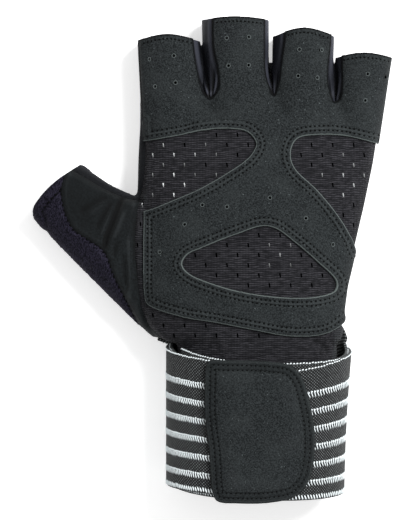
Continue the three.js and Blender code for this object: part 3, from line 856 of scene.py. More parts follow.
def blob(sides=8, rings=4):
    """A small ball of unit radius: points and triangles."""
    verts = [(0, 0, 1)]
    for r in range(1, rings):
        tilt = math.pi * r / rings
        for i in range(sides):
            turn = 2 * math.pi * i / sides
            verts.append((math.sin(tilt) * math.cos(turn), math.sin(tilt) * math.sin(turn), math.cos(tilt)))
    verts.append((0, 0, -1))
    last, faces = len(verts) - 1, []
    for i in range(sides):
        j = (i + 1) % sides
        faces.append((0, 1 + i, 1 + j))
        faces.append((last, last - sides + j, last - sides + i))
        for r in range(rings - 2):
            a, b = 1 + r * sides + i, 1 + r * sides + j
            faces += [(a, a + sides, b), (b, a + sides, b + sides)]
    return np.array(verts), np.array(faces)


def scattered(places, along, up, size, shape=None):
    """One small shape at each place, turned to its directions. size is its half length, width and height."""
    verts, faces = shape or blob()
    up = unit(up)
    along = along - up * (along * up).sum(1, keepdims=True)
    along = unit(along)
    across = np.cross(up, along)
    size = np.broadcast_to(np.asarray(size, float), (len(places), 3))
    moved = [axis[:, None, :] * (verts[:, k] * size[:, k, None])[..., None]
             for k, axis in enumerate((along, across, up))]
    p = places[:, None, :] + sum(moved)
    t = faces[None] + (np.arange(len(places)) * len(verts))[:, None, None]
    return p.reshape(-1, 3), t.reshape(-1, 3)


def flat_directions(directions):
    return np.column_stack([directions, np.zeros(len(directions))])


def stitches(name, seat, rows, level, size):
    """Threads along rows of (points, directions), each seated on a surface."""
    parts = []
    for points, directions in rows:
        places, normals, found = seat.at(points, level)
        if len(places):
            parts.append(scattered(places, flat_directions(directions[found]), normals, size))
    return object_from(name, fast_mesh(name, *joined_arrays(parts)))


# Outlines of the hems, and the fields that part one panel from the next
def finger_hem(finger):
    left, right = (share * palm_width for share in finger["tip"])
    tip_y, rise = finger_tip_y(finger), finger["hem"] * finger_reach
    middle = (left + right) / 2
    half = middle - left + overlay_level
    return smooth_line([(middle - half, tip_y - rise), (middle, tip_y), (middle + half, tip_y - rise)])


def finger_bounds():
    """The left and right bound of each finger, in the middle of the gaps."""
    tips = [finger_tip_y(f) for f in FINGERS]
    lower = [min(pair) for pair in zip(tips, tips[1:])]
    gaps = [gap_lines(np.array([y]))[0, i] for i, y in enumerate(lower)]
    return list(zip([-far, *gaps], [*gaps, far]))


def hem_outline():
    points = [(-far, -far)]
    for finger, (low, high) in zip(FINGERS, finger_bounds()):
        curve = finger_hem(finger)
        held = curve[(curve[:, 0] > low) & (curve[:, 0] < high)]
        points += [(low, held[0, 1]), *held, (high, held[-1, 1])]
    return np.array([*points, (far, -far)])


def thumb_hem_curve():
    """The edge of the thumb's opening, in the thumb's own frame, rounded off at its lower corner."""
    left, right = THUMB[-1]["low"] * palm_width, THUMB[-1]["high"] * palm_width
    top, rise = thumb_reach, thumb_hem * thumb_reach
    corner = [(left - 0.8, top - rise - 4.0), (left + 0.5, top - rise - 1.0), (left + 3.5, top - 0.5 * rise)]
    return smooth_line([*corner, ((left + right) / 2, top), (right + overlay_level, top - rise)])


def thumb_hem_outline():
    curve = thumb_hem_curve()
    return np.vstack([curve, [(curve[-1][0] + far, -far), (curve[0][0] - far, -far)]])


def sides_of(line):
    return [inside(side_of(line, side), overlap) for side in (1, -1)]


beside_thumb = -5.0
in_palm_area, in_thumb_area = sides_of(palm_line)
in_back_area, in_thumb_back = sides_of(back_line)
above_gusset, below_gusset = map(in_thumb_frame, sides_of(gusset_line))
inside_terry, outside_terry = map(in_thumb_frame, sides_of(terry_line))
hems = inside(hem_outline())
thumb_hems = in_thumb_frame(either(inside(thumb_hem_outline()), beyond(0, beside_thumb)))
above_cuff_end = beyond(1, cuff_end_y)
below_fingers = short_of(1, finger_root_y - clearance)
palm_side = beyond(2, side_seam_height - overlap)
back_side = short_of(2, side_seam_height + overlap)
above_foot = np.vstack([foot_line, [(far, foot_line[-1][1]), (far, joint_y), (foot_line[0][0], joint_y)]])
overlay_plan = [
    in_palm_area,
    either(inside(above_foot), beyond(1, joint_y)),
    *[outside(loop) for loop in windows],
    *[outside(loop, -overlap) for loop in fourchette_loops],
    hems,
]
on_overlay = both(*overlay_plan)


def nearest(p, lines):
    return np.min([distance_to_line(p, line) for line in lines], axis=0)


def nearest_cut_edge(p):
    """How far points lie from the raw-cut edges of the suede."""
    left_edge = np.array([(foot_line[0][0], joint_y), foot_line[0]])
    return nearest(p, [*[np.vstack([loop, loop[0]]) for loop in windows], foot_line, left_edge])


def nearest_seam(p):
    """How far points lie from the sewn edges of the suede."""
    return nearest(p, [palm_line, *fourchette_loops, *[finger_hem(f) for f in FINGERS]])


# Cloth of the hand
base = base_sheet()
seat = Seat(base)
pieces = {}
cloth_roll = 0.15
loop_height = 0.11
loop_seed, painted_light_seed, yarn_seed = 4, 11, 7


def dress(node, obj):
    """The piece that stands for a node."""
    pieces[node] = obj
    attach(obj, "root")
    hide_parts(node)
    return obj


def palm_overlay():
    sheet = base.cut(palm_side, *overlay_plan)
    on_fingers = np.clip((sheet.p[:, 1] - finger_root_y) / 1.5, 0, 1)
    inner = overlay_floor - (overlay_floor + knit_wall) * on_fingers
    traits = dict(cut_edge=nearest_cut_edge(sheet.p), seam=nearest_seam(sheet.p), fold=fold_lift(sheet.p))
    return shell("palm_overlay_suede", sheet, overlay_level, inner, roll=0.2, traits=traits)


def cloth_panel(name, fields):
    sheet = base.cut(*fields)
    return shell(name, sheet, 0.0, -knit_wall, roll=cloth_roll, traits={"fold": fold_lift(sheet.p)})


PANELS = dict(
    palm_knit=("knit", palm_side, in_palm_area, below_fingers, above_cuff_end),
    back_panel=("stretch_cloth", back_side, in_back_area, hems, above_cuff_end),
    side_gusset=("stretch_cloth", palm_side, in_thumb_area, above_gusset, hems, thumb_hems),
    thumb_panel=("thumb_cloth", palm_side, in_thumb_area, below_gusset, inside_terry, thumb_hems,
                 above_cuff_end),
)


def plain_panels():
    for node, (slot, *fields) in PANELS.items():
        dress(node, cloth_panel(node + "_cloth", fields))


def fourchettes():
    names = [f["name"] for f in FINGERS]
    for i, loop in enumerate(fourchette_loops):
        node = f"fourchette_{names[i]}_{names[i + 1]}"
        sheet = base.cut(palm_side, inside(loop, fourchette_tuck), hems).refined()
        pleats = gathers(loop, sheet)
        traits = {"pleat": pleats / pleat_depth, "seam": inside(loop, overlap)(sheet.p)}
        dress(node, shell(node + "_cloth", sheet, 0.0, -knit_wall, relief=pleats, traits=traits))


def gathers(loop, sheet):
    """Pleats that fan out from the bottom of a fourchette, and the ridge beside its seam."""
    rel = sheet.p[:, :2] - loop[np.argmin(loop[:, 1])]
    turn = np.arctan2(rel[:, 0], rel[:, 1] + 5)
    reach = np.linalg.norm(rel, axis=1)
    margin = inside(loop, overlap)(sheet.p)
    fade = np.clip(margin / pleat_margin, 0, 1)
    wave = 0.6 * np.cos(turn * pleats_a_turn + 0.6) - 0.4
    fan = pleat_depth * np.exp(-(reach / pleat_reach) ** 2) * wave
    return 0.3 * np.exp(-((margin - 1.9) / 0.9) ** 2) + fade * fan


def thumb_terry():
    on_palm_side = both(beyond(2, side_seam_height - clearance), in_thumb_area, below_gusset, outside_terry)
    sheet = base.cut(either(both(back_side, in_thumb_back), on_palm_side), thumb_hems, above_cuff_end)
    loops = np.random.default_rng(loop_seed).normal(0, loop_height, len(sheet.p))
    inside_hem = inside(thumb_hem_outline())(to_thumb(sheet.p))
    groove = 0.4 * np.exp(-((inside_hem - thumb_hem_row) / 0.9) ** 2)
    roll = 0.45 * np.exp(-((inside_hem - 2.0) / 1.8) ** 2) - groove
    return shell("thumb_terry_cloth", sheet, 0.0, -knit_wall, roll=cloth_roll, relief=loops + roll,
                 traits={"hem": inside_hem})


dress("palm_overlay", palm_overlay())
plain_panels()
fourchettes()
dress("thumb_terry", thumb_terry())


# The elastic band, wound round the wrist, and the tab that closes it
def trunk_at(y):
    places = [row["along"] for row in TRUNK]
    return {key: np.interp(y, places, [row[key] for row in TRUNK]) for key in TRUNK[0]}


def band_offset(turn):
    return clearance + band_pitch * turn


def band_edge(turn, key):
    stretch = 100.0
    curve = smooth_line([(row["turn"] * stretch, wrap_top_y - row[key] * wrap_width) for row in BAND])
    return np.interp(turn * stretch, curve[:, 0], curve[:, 1])


def wrist_points(turn, y, offset):
    """Points round the wrist, some way off the cuff. The band's top flares on the little-finger side."""
    sideways = np.maximum(0, -np.cos(2 * np.pi * turn))
    upwards = np.clip((y - wrap_end_y) / (wrap_top_y - wrap_end_y), 0, 1)
    flare = wrap_flare * sideways**2 * upwards**2
    return section_points(trunk_at(y), turn % 1, offset + flare)


def band_points(turn, share):
    top, bottom = band_edge(turn, "top"), band_edge(turn, "bottom")
    return wrist_points(turn, top + (bottom - top) * share, band_offset(turn))


def grid_sheet(points):
    """A sheet through a grid of points."""
    rows, columns = points.shape[:2]
    ids = np.arange(rows * columns).reshape(rows, columns)
    a, b, c, d = ids[:-1, :-1].ravel(), ids[1:, :-1].ravel(), ids[1:, 1:].ravel(), ids[:-1, 1:].ravel()
    p = points.reshape(-1, 3)
    t = np.vstack([np.column_stack([a, c, b]), np.column_stack([a, d, c])])
    n = vertex_normals(p, t)
    for _ in range(2):
        n = neighbour_mean(n, unique_edges(t), len(n))
    return Sheet(p, unit(n), t)


def wrist_girth():
    turn = np.linspace(0, 1, 400)
    ring = band_points(turn, 0.5 * np.ones_like(turn))
    return np.linalg.norm(np.diff(ring, axis=0), axis=1).sum()


girth = wrist_girth()


def wrist_wrap():
    turn = np.linspace(wrap_start, wrap_end, int((wrap_end - wrap_start) * girth / band_step))
    share = np.linspace(0, 1, int(wrap_width / band_step))
    turns, shares = np.meshgrid(turn, share, indexing="ij")
    points = band_points(turns.ravel(), shares.ravel()).reshape(*turns.shape, 3)
    sheet = grid_sheet(points)
    traits = {"along": turns.ravel() * girth, "across": shares.ravel() * wrap_width}
    return shell("wrist_wrap_elastic", sheet, wrap_wall, 0.0, roll=0.2, traits=traits)


def closure_tab():
    reach = 0.55 * tab_length
    turn = np.linspace(math.floor(wrap_end), math.floor(wrap_end) + 0.5, 150)
    y = np.linspace(tab_middle[1] + reach, tab_middle[1] - reach, 130)
    turns, ys = np.meshgrid(turn, y, indexing="ij")
    share = np.clip((turns - wrap_end - 0.01) / 0.06, 0, 1)
    on_band = 1 - share**2 * (3 - 2 * share)
    offsets = band_offset(turns) + band_pitch * on_band
    points = wrist_points(turns.ravel(), ys.ravel(), offsets.ravel()).reshape(*turns.shape, 3)
    sheet = grid_sheet(points).clip(inside(tab_outline), snap=0.05)
    margin = inside(tab_outline)(sheet.p)
    puff = 0.5 * np.clip((margin - 4.6) / 3.0, 0, 1)
    return sheet, shell("closure_tab_suede", sheet, tab_wall, 0.0, roll=0.35, relief=puff,
                        traits={"margin": margin})


tab_outline = smooth_line(np.array(TAB) * (tab_width, tab_length) + tab_middle, closed=True)
dress("wrist_wrap", wrist_wrap())
tab_sheet, tab_piece = closure_tab()
dress("closure_tab", tab_piece)


# Threads and vents
thread_half_size = (0.52, 0.44, 0.24)
thumb_thread_half_size = (0.6, 0.42, 0.25)
tab_thread_half_size = (0.45, 0.34, 0.2)
rim_half_size = (0.26, 0.2, 0.12)
# Pale patches of painted light under the vents: how much smaller than a slit they are, between which levels
# they lie, and below what paleness they are left out
painted_light_play = 0.06
painted_light_levels = (-1.1, -0.3)
faintest_painted_light = 0.12
rim_width = 0.2
rim_sides = 14
proud = 0.02


def outward(loop, distance):
    """A closed line moved out of its own loop."""
    moved = beside(loop, distance, closed=True)
    if distance_inside(moved, loop).mean() > 0:
        moved = beside(loop, -distance, closed=True)
    return moved


def row_on(line, pitch, keep):
    points, directions = even_points(line, pitch)
    held = keep(points)
    return points[held], directions[held]


def overlay_rows():
    """Two rows of stitches inside every raw-cut edge of the suede, and one below each finger's hem."""
    rows = []
    for distance in stitch_rows:
        def keep(points, distance=distance):
            return (on_overlay(points) > 1.0) & (nearest_cut_edge(points) > distance - 0.2)
        lines = [outward(loop, distance) for loop in windows] + [beside(foot_line, -distance)]
        rows += [row_on(line, stitch_pitch, keep) for line in lines]
    for finger in FINGERS:
        line = finger_hem(finger) - (0, hem_row)
        rows.append(row_on(line, 0.8 * stitch_pitch, lambda points: on_overlay(points) > 0.9))
    return rows


def thumb_rows_of_stitches():
    """One row beside the seam of the towelling, and one inside the opening of the thumb."""
    rows = []
    for line in (terry_line, thumb_hem_curve() - (0, thumb_hem_row)):
        world = turned_like_thumb(line)
        points, directions = even_points(world, 1.2 * stitch_pitch)
        held = (in_thumb_area(points) > 1.0) & (thumb_hems(points) > 0.5) & (inside_terry(points) < 0.3)
        rows.append((points[held], directions[held]))
    return rows


def vent_places():
    """The staggered vents of the knit, where the suede leaves it bare."""
    wrap_line = wrap_top_y - BAND[1]["top"] * wrap_width
    heel = np.vstack([foot_line, [(foot_line[-1][0], wrap_line), (foot_line[0][0], wrap_line)]])
    bare = either(*[inside(loop) for loop in windows], inside(heel))
    palm = inside(np.vstack([palm_line, smooth_line(in_palm(LITTLE_FINGER_EDGE))]))
    row, column = np.meshgrid(np.arange(-24, 25), np.arange(-12, 13), indexing="ij")
    x = (column + 0.5 * (row % 2)) * slit_pitch[0] + SLIT_ORIGIN[0] * palm_width
    y = row * slit_pitch[1] + SLIT_ORIGIN[1] * palm_length
    points = np.column_stack([x.ravel(), y.ravel()])
    margin = slit_length / 2 + clearance
    held = (bare(points) > margin) & (palm(points) > margin)
    return np.vstack([points[held], in_palm(STRIP_VENTS)])


def capsule(length, width, sides=12):
    """The outline of a slit with round ends, tilted a little."""
    angle = 2 * np.pi * np.arange(sides) / sides
    straight = (length - width) / 2
    x, y = np.cos(angle) * width / 2, np.sin(angle) * width / 2
    y = y + np.where(y >= 0, straight, -straight)
    return turned(np.column_stack([x, y]), slit_tilt)


def pegs(outline, places, low, high):
    """Upright closed prisms of one outline, between two levels of their seats."""
    count = len(outline)
    ring = np.arange(count)
    after = (ring + 1) % count
    caps = np.column_stack([np.zeros(count - 2, int), ring[1:-1], ring[2:]])
    walls = np.vstack([np.column_stack([ring, after, after + count]),
                       np.column_stack([ring, after + count, ring + count])])
    faces = np.vstack([caps[:, ::-1], caps + count, walls])
    parts = []
    for place in places:
        foot = np.column_stack([outline + place[:2], np.full(count, place[2] + low)])
        top = np.column_stack([outline + place[:2], np.full(count, place[2] + high)])
        parts.append((np.vstack([foot, top]), faces))
    return joined_arrays(parts)


def pierce(obj, cutters):
    """Cuts closed shapes out of a piece."""
    tool = object_from("cutters", fast_mesh("cutters", *cutters))
    cut = obj.modifiers.new("vents", "BOOLEAN")
    cut.solver = "MANIFOLD"
    cut.operation = "DIFFERENCE"
    cut.object = tool
    deps = bpy.context.evaluated_depsgraph_get()
    mesh = bpy.data.meshes.new_from_object(obj.evaluated_get(deps))
    obj.modifiers.clear()
    obj.data = mesh
    mesh.set_sharp_from_angle(angle=math.radians(50))
    bpy.data.objects.remove(tool)


def cut_vents():
    """The slits of the knit, with pale patches under some of them: painted light seen through the vents."""
    points = vent_places()
    places, _, _ = seat.at(points, 0.0)
    pierce(pieces["palm_knit"], pegs(capsule(slit_length, slit_width), places, -4.0, 2.0))
    pale = np.zeros(len(places))
    for spot in PAINTED_LIGHT_SPOTS:
        gap = np.linalg.norm(places[:, :2] - in_palm([spot["at"]]), axis=1)
        pale = np.maximum(pale, spot["pale"] * np.exp(-(gap / spot["reach"]) ** 2))
    pale *= np.random.default_rng(painted_light_seed).choice([1.0, 1.0, 0.9, 0.25], len(pale))
    pale[-len(STRIP_VENTS):] = 0
    shown = pale > faintest_painted_light
    painted_light_slit = capsule(slit_length - painted_light_play, slit_width - painted_light_play)
    verts, faces = pegs(painted_light_slit, places[shown], *painted_light_levels)
    mesh = fast_mesh("vent_painted_light", verts, faces)
    store(mesh, "pale", np.repeat(pale[shown], len(verts) // shown.sum()))
    return object_from("vent_painted_light", mesh)


def punch_suede():
    """The round vents of the suede, and the raised rim round each."""
    points = in_palm(PUNCHES)
    held = on_overlay(points) > 1.2
    places, normals, _ = seat.at(points[held], 0.0)
    angle = 2 * np.pi * np.arange(rim_sides) / rim_sides
    circle = np.column_stack([np.cos(angle), np.sin(angle)])
    pierce(pieces["palm_overlay"], pegs(circle * punch_diameter / 2, places, -3.0, 4.0))
    ring = []
    for turn in angle:
        offset = np.tile((math.cos(turn), math.sin(turn), 0.0), (len(places), 1))
        offset -= normals * (offset * normals).sum(1)[:, None]
        place = places + normals * (overlay_level + proud) + offset * (punch_diameter / 2 + rim_width)
        ring.append((place, (-math.sin(turn), math.cos(turn), 0)))
    parts = [scattered(p, np.tile(d, (len(p), 1)), normals, rim_half_size, blob(6, 3)) for p, d in ring]
    return object_from("punch_rims", fast_mesh("punch_rims", *joined_arrays(parts)))


def wrap_yarns():
    """The pale stripes of the band, laid as slanting yarns, and the beaded selvedge of its top edge."""
    turn = [wrap_start]
    while turn[-1] < wrap_end:
        turn.append(turn[-1] + yarn_pitch * (1.15 + 0.17 * (1 - math.cos(2 * math.pi * turn[-1]))) / girth)
    turn = np.array(turn[1:-1])
    small = 0.2 / girth
    uneven = np.random.default_rng(yarn_seed)
    parts = []
    for stripe in STRIPES:
        share = stripe["across"] / wrap_width + uneven.normal(0, 0.1 / wrap_width, len(turn))
        shown = (stripe["across"] > 1) | (band_edge(turn, "top") < wrap_top_y + 0.05 * wrap_width)
        half = stripe["half"] / wrap_width
        place = band_points(turn, share)
        slant = stripe["slant"] * uneven.uniform(0.6, 1.3, len(turn)) / girth
        along = band_points(turn + slant, share + half) - band_points(turn - slant, share - half)
        sideways = band_points(turn + small, share) - band_points(turn - small, share)
        up = np.cross(along, sideways)
        up = unit(up)
        size = (stripe["half"], stripe["width"], 0.26)
        place = place + up * (wrap_wall + proud)
        parts.append(scattered(place[shown], along[shown], up[shown], size, blob(6, 4)))
    verts, faces = joined_arrays(parts)
    verts[:, 2] = np.maximum(verts[:, 2], 0)
    return object_from("wrap_stripes", fast_mesh("wrap_stripes", verts, faces))


def tab_rows():
    rows = []
    for distance in tab_stitch_rows:
        moved = outward(tab_outline, distance)
        line = 2 * np.vstack([tab_outline, tab_outline[0]]) - moved
        rows.append(even_points(line, stitch_pitch))
    return rows


def trim(name, obj):
    """A separate piece that rides on the glove."""
    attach(obj, "root")
    trims[name] = obj


trims = {}
trim("painted_vent_light", cut_vents())
trim("rims", punch_suede())
trim("overlay", stitches("overlay_stitches", seat, overlay_rows(), overlay_level, thread_half_size))
trim("thumb", stitches("thumb_stitches", seat, thumb_rows_of_stitches(), 0.1, thumb_thread_half_size))
trim("tab", stitches("tab_stitches", Seat(tab_sheet), tab_rows(), tab_wall, tab_thread_half_size))
trim("yarns", wrap_yarns())


# Finishes, painted by nodes in millimetres of the glove's own frame
class Finish:
    def __init__(self, name, **sockets):
        self.material = bpy.data.materials.new(name)
        self.material.use_nodes = True
        self.tree = self.material.node_tree
        self.shader = self.tree.nodes["Principled BSDF"]
        for key, value in sockets.items():
            self.shader.inputs[SOCKETS[key]].default_value = value
        self.normal = None

    def node(self, kind, inputs, output=0, **settings):
        node = self.tree.nodes.new("ShaderNode" + kind)
        for key, value in settings.items():
            setattr(node, key, value)
        for key, value in inputs.items():
            if isinstance(value, bpy.types.NodeSocket):
                self.tree.links.new(value, node.inputs[key])
            else:
                node.inputs[key].default_value = value
        return node.outputs[output]

    def place(self, stretch=(1, 1, 1)):
        coords = self.node("TexCoord", {}, "Object")
        return self.node("VectorMath", {0: coords, 1: [s / MM for s in stretch]}, operation="MULTIPLY")

    def noise(self, size, detail=2.0, stretch=(1, 1, 1)):
        inputs = {"Vector": self.place(stretch), "Scale": 1 / size, "Detail": detail}
        return self.node("TexNoise", inputs, "Fac")

    def math(self, operation, a, b=0.0):
        return self.node("Math", {0: a, 1: b}, operation=operation)

    def times(self, a, b):
        return self.math("MULTIPLY", a, b)

    def trait(self, name):
        return self.node("Attribute", {}, "Fac", attribute_name=name)

    def axis(self, k):
        return self.node("SeparateXYZ", {0: self.place()}, k)

    def waves(self, value, pitch):
        """Even ribs from 0 to 1, one in each pitch."""
        turn = self.times(value, 2 * math.pi / pitch)
        return self.math("MULTIPLY_ADD", self.math("SINE", turn), 0.5)

    def step(self, value, low, high):
        """0 up to low, 1 from high, and smooth between them. low may be above high."""
        return self.node("MapRange", {"Value": value, "From Min": low, "From Max": high},
                         interpolation_type="SMOOTHSTEP")

    def near(self, value, middle, reach):
        """1 where a value is at the middle, falling to 0 at its reach."""
        return self.step(self.math("ABSOLUTE", self.math("SUBTRACT", value, middle)), reach, 0.0)

    def mix(self, factor, a, b):
        first, second = ((*colour, 1) if isinstance(colour, tuple) else colour for colour in (a, b))
        return self.node("Mix", {0: factor, 6: first, 7: second}, 2, data_type="RGBA")

    def bump(self, height, depth):
        inputs = {"Height": height, "Distance": depth * MM, "Strength": 1.0}
        if self.normal is not None:
            inputs["Normal"] = self.normal
        self.normal = self.node("Bump", inputs)

    def creased(self, colour):
        """Painted shade in the valleys of the folds, and painted light on the ridges."""
        fold = self.trait("fold")
        # Painted shade: darker in the valleys of the folds
        painted_valley_shade = self.times(self.step(fold, -0.15, -1.3), 0.85)
        colour = self.mix(painted_valley_shade, colour, (0.001, 0.0012, 0.0014))
        # Painted light: paler on the ridges of the folds
        painted_ridge_light = self.times(self.step(fold, 0.08, 0.7), 0.4)
        return self.mix(painted_ridge_light, colour, (0.028, 0.032, 0.034))

    def finished(self, colour):
        self.tree.links.new(colour, self.shader.inputs["Base Color"])
        if self.normal is not None:
            self.tree.links.new(self.normal, self.shader.inputs["Normal"])
        return self.material


SOCKETS = dict(rough="Roughness", gloss="Specular IOR Level", sheen="Sheen Weight",
               sheen_rough="Sheen Roughness", tint="Sheen Tint", glow="Emission Strength")


def suede_of(name):
    f = Finish(name, rough=0.95, gloss=0.08, sheen=0.03, sheen_rough=0.4)
    f.bump(f.noise(0.55, 3.0), 0.28)
    nap = f.step(f.noise(0.62, 3.0), 0.35, 0.65)
    colour = f.mix(nap, (0.0062, 0.0074, 0.0079), (0.0235, 0.0272, 0.0286))
    cloud = f.times(f.step(f.noise(15.0, 3.0), 0.4, 0.7), 0.3)
    colour = f.mix(cloud, colour, (0.03, 0.0345, 0.0355))
    return f, f.mix(f.step(f.noise(0.75, 1.0), 0.71, 0.78), colour, (0.075, 0.088, 0.09))


def overlay_suede():
    f, colour = suede_of("suede")
    edge = f.trait("cut_edge")
    for distance in stitch_rows:
        row = f.near(edge, distance, 0.8)
        # Painted light and shade of puckers: pale and dark patches along each row of stitches
        painted_pucker_light_and_shade = f.step(f.noise(1.5, 1.0), 0.4, 0.6)
        colour = f.mix(f.times(row, 0.4), colour, f.mix(painted_pucker_light_and_shade, (0.005, 0.006, 0.0065),
                                                                   (0.04, 0.047, 0.048)))
        f.bump(f.times(row, -1.0), 0.3)
    # Painted highlight on the raised band of suede between the two rows of stitches
    ridge = f.near(edge, sum(stitch_rows) / 2, 0.6)
    colour = f.mix(f.times(ridge, 0.35), colour, (0.04, 0.046, 0.047))
    colour = f.mix(f.step(f.trait("seam"), 0.95, 0.4), colour, (0.003, 0.0035, 0.004))
    return f.finished(f.mix(f.times(f.step(edge, 0.42, 0.22), 0.9), colour, (0.085, 0.1, 0.097)))


def tab_suede():
    f, colour = suede_of("tab_suede")
    margin = f.trait("margin")
    colour = f.mix(f.times(f.step(margin, 5.4, 4.6), 0.4), colour, (0.008, 0.0095, 0.0098))
    for distance in tab_stitch_rows:
        f.bump(f.times(f.near(margin, distance, 0.8), -1.0), 0.35)
    # Painted highlight on the rounded edge of the tab
    ridge = f.near(margin, 0.7, 0.5)
    colour = f.mix(f.times(ridge, 0.35), colour, (0.035, 0.04, 0.04))
    return f.finished(colour)


def knit():
    f = Finish("knit", rough=0.9, gloss=0.1, sheen=0.02)
    wavy = f.times(f.noise(5.0, 2.0), 1.6)
    ribs = f.waves(f.math("ADD", f.axis(1), wavy), rib_pitch)
    wales = f.waves(f.axis(0), 1.35 * rib_pitch)
    broken = f.step(f.noise(1.3, 3.0, (0.35, 1.6, 1)), 0.32, 0.68)
    f.bump(f.math("ADD", ribs, f.times(wales, 0.35)), 0.25)
    colour = f.mix(f.times(ribs, broken), (0.0068, 0.0069, 0.0084), (0.0445, 0.0435, 0.05))
    colour = f.mix(f.times(wales, 0.25), colour, (0.008, 0.0078, 0.009))
    # Painted shade of drapes: broad darker patches from stretched noise
    painted_drape_shade = f.step(f.noise(9.0, 2.0, (0.4, 1.0, 1)), 0.35, 0.7)
    return f.finished(f.creased(f.mix(f.times(painted_drape_shade, 0.3), colour, (0.008, 0.008, 0.0095))))


def stretch_cloth(name, dark, light, rough, gloss):
    f = Finish(name, rough=rough, gloss=gloss, sheen=0.02, tint=(0.6, 0.65, 0.9, 1))
    grain = f.noise(0.5, 3.0)
    f.bump(grain, 0.1)
    return f, f.mix(f.step(grain, 0.3, 0.7), dark, light)


def fourchette_cloth():
    f, colour = stretch_cloth("stretch_navy", (0.0046, 0.005, 0.0068), (0.012, 0.013, 0.0175), 0.65, 0.15)
    edge = f.trait("seam")
    # Painted sheen on the ridge beside the seam
    painted_seam_ridge_sheen = f.near(edge, 2.0, 1.3)
    colour = f.mix(f.times(painted_seam_ridge_sheen, 0.75), colour, (0.031, 0.0335, 0.043))
    pleat = f.trait("pleat")
    # Painted highlights on the crests of the pleats
    colour = f.mix(f.times(f.step(pleat, 0.03, 0.25), 0.7), colour, (0.035, 0.0375, 0.049))
    # Painted shade in the valleys of the pleats
    colour = f.mix(f.times(f.step(pleat, -0.12, -0.5), 0.9), colour, (0.0008, 0.0009, 0.0014))
    return f.finished(f.mix(f.step(edge, 1.15, 0.75), colour, (0.0008, 0.0008, 0.001)))


def back_cloth(name, strength):
    light = tuple(strength * v for v in (0.0135, 0.0145, 0.0165))
    f, colour = stretch_cloth(name, (0.0035, 0.0038, 0.0045), light, 0.8, 0.06)
    return f.finished(f.creased(colour))


def thumb_cloth():
    f = Finish("thumb_cloth", rough=0.9, gloss=0.15, sheen=0.04)
    f.bump(f.noise(0.6, 3.0), 0.14)
    colour = f.mix(f.step(f.noise(0.8, 4.0), 0.3, 0.72), (0.0025, 0.0034, 0.0038), (0.0084, 0.0107, 0.0119))
    shaded = f.times(f.step(f.axis(1), 2.0, 24.0), 0.55)
    colour = f.mix(shaded, colour, (0.0014, 0.0021, 0.0025))
    return f.finished(f.creased(colour))


def towelling():
    f = Finish("towelling", rough=0.95, gloss=0.05, sheen=0.05, sheen_rough=0.5, tint=(0.85, 0.8, 1.0, 1))
    loops = f.noise(0.62, 2.0, (1.6, 0.7, 1))
    f.bump(loops, 0.6)
    colour = f.mix(f.step(loops, 0.36, 0.66), (0.0016, 0.0015, 0.0032), (0.021, 0.019, 0.032))
    groove = f.near(f.trait("hem"), thumb_hem_row, 0.9)
    return f.finished(f.mix(f.times(groove, 0.7), colour, (0.002, 0.002, 0.003)))


def elastic():
    f = Finish("elastic", rough=0.8, gloss=0.25, sheen=0.03)
    along, across = f.trait("along"), f.trait("across")
    rising = f.waves(f.math("ADD", along, f.times(across, 0.9)), 1.4 * yarn_pitch)
    falling = f.waves(f.math("SUBTRACT", along, f.times(across, 0.9)), 1.4 * yarn_pitch)
    weave = f.times(rising, falling)
    f.bump(weave, 0.4)
    broken = f.math("MULTIPLY_ADD", f.step(f.noise(1.3, 3.0), 0.35, 0.65), 0.75)
    shade = f.times(f.step(weave, 0.25, 0.75), broken)
    return f.finished(f.mix(shade, (0.0028, 0.003, 0.0034), (0.15, 0.163, 0.166)))


def yarn():
    f = Finish("yarn", rough=0.7, gloss=0.3)
    f.bump(f.noise(0.3, 2.0), 0.08)
    return f.finished(f.mix(f.noise(0.9, 3.0), (0.58, 0.64, 0.66), (0.85, 0.9, 0.91)))


def thread():
    f = Finish("thread", rough=0.85, gloss=0.06)
    return f.finished(f.mix(f.noise(0.4), (0.0008, 0.0008, 0.0008), (0.003, 0.0032, 0.0032)))


def raised_suede():
    f = Finish("suede_rim", rough=0.95, gloss=0.1)
    return f.finished(f.mix(f.noise(0.5), (0.05, 0.059, 0.059), (0.12, 0.138, 0.137)))


# Painted light seen through the vents: pale where the pale trait is high, dark where it is low
def painted_vent_light():
    f = Finish("painted_vent_light", rough=0.8, gloss=0.2)
    light_seen_through = f.mix(f.noise(0.3), (0.75, 0.79, 0.8), (0.93, 0.95, 0.95))
    return f.finished(f.mix(f.trait("pale"), (0.008, 0.008, 0.009), light_seen_through))


def pale_floor():
    f = Finish("floor", rough=0.9, gloss=0.1, glow=0.5)
    f.shader.inputs["Emission Color"].default_value = (1, 1, 1, 1)
    return f.finished(f.mix(f.noise(300.0), (0.88, 0.88, 0.88), (0.9, 0.9, 0.9)))


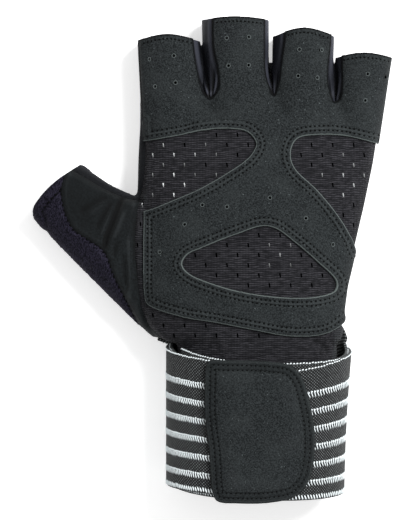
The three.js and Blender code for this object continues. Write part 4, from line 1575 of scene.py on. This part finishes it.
def dress_materials():
    fourchette = fourchette_cloth()
    finishes = dict(palm_knit=knit(), palm_overlay=overlay_suede(), thumb_panel=thumb_cloth(),
                    back_panel=back_cloth("stretch_black", 1.0), thumb_terry=towelling(),
                    side_gusset=back_cloth("stretch_edging", 0.7), wrist_wrap=elastic(),
                    closure_tab=tab_suede())
    for node, obj in pieces.items():
        obj.data.materials.clear()
        obj.data.materials.append(finishes.get(node, fourchette))
    dark = thread()
    trim_finishes = dict(painted_vent_light=painted_vent_light(), rims=raised_suede(), yarns=yarn())
    for name, obj in trims.items():
        obj.data.materials.append(trim_finishes.get(name, dark))


dress_materials()


# The stage: a pale floor, a soft light from above on the right, and the camera straight over the glove.
# The light's size and place are in metres.
photo_scale = 0.45
photo_size = (416, 520)
photo_origin = (211, 261)
camera_height = 2500.0
focus_height = 20.0
sensor_width = 36.0
sky_light = 0.62
key_size, key_power = 0.55, 21.0
key_place = (0.62, 0.5, 0.95)
floor_reach, floor_drop = 4000.0, 0.3


def stage_glove():
    scene = bpy.context.scene
    camera = bpy.data.cameras.new("camera")
    camera.sensor_width = sensor_width
    camera.lens = sensor_width * (camera_height - focus_height) / (photo_size[1] * photo_scale)
    camera.clip_start, camera.clip_end = 0.1, 50.0
    eye = bpy.data.objects.new("camera", camera)
    middle_x = (photo_size[0] / 2 - photo_origin[0]) * photo_scale
    middle_y = (photo_origin[1] - photo_size[1] / 2) * photo_scale
    eye.location = Vector((middle_x, middle_y, camera_height)) * MM
    scene.collection.objects.link(eye)
    scene.camera = eye
    world = bpy.data.worlds.new("studio")
    world.use_nodes = True
    world.node_tree.nodes["Background"].inputs["Color"].default_value = (1, 1, 1, 1)
    world.node_tree.nodes["Background"].inputs["Strength"].default_value = sky_light
    scene.world = world
    scene.view_settings.view_transform = "Standard"
    key = bpy.data.lights.new("key", "AREA")
    key.shape, key.size, key.energy = "DISK", key_size, key_power
    lamp = bpy.data.objects.new("key", key)
    lamp.location = key_place
    lamp.rotation_euler = (-lamp.location).to_track_quat("-Z", "Y").to_euler()
    scene.collection.objects.link(lamp)
    corners = [(x * floor_reach, y * floor_reach, 0) for x, y in ((-1, -1), (1, -1), (1, 1), (-1, 1))]
    floor = object_from("floor", mesh_from("floor", corners, [(0, 1, 2, 3)]))
    floor.location.z = -floor_drop * MM
    floor.data.materials.append(pale_floor())


stage_glove()
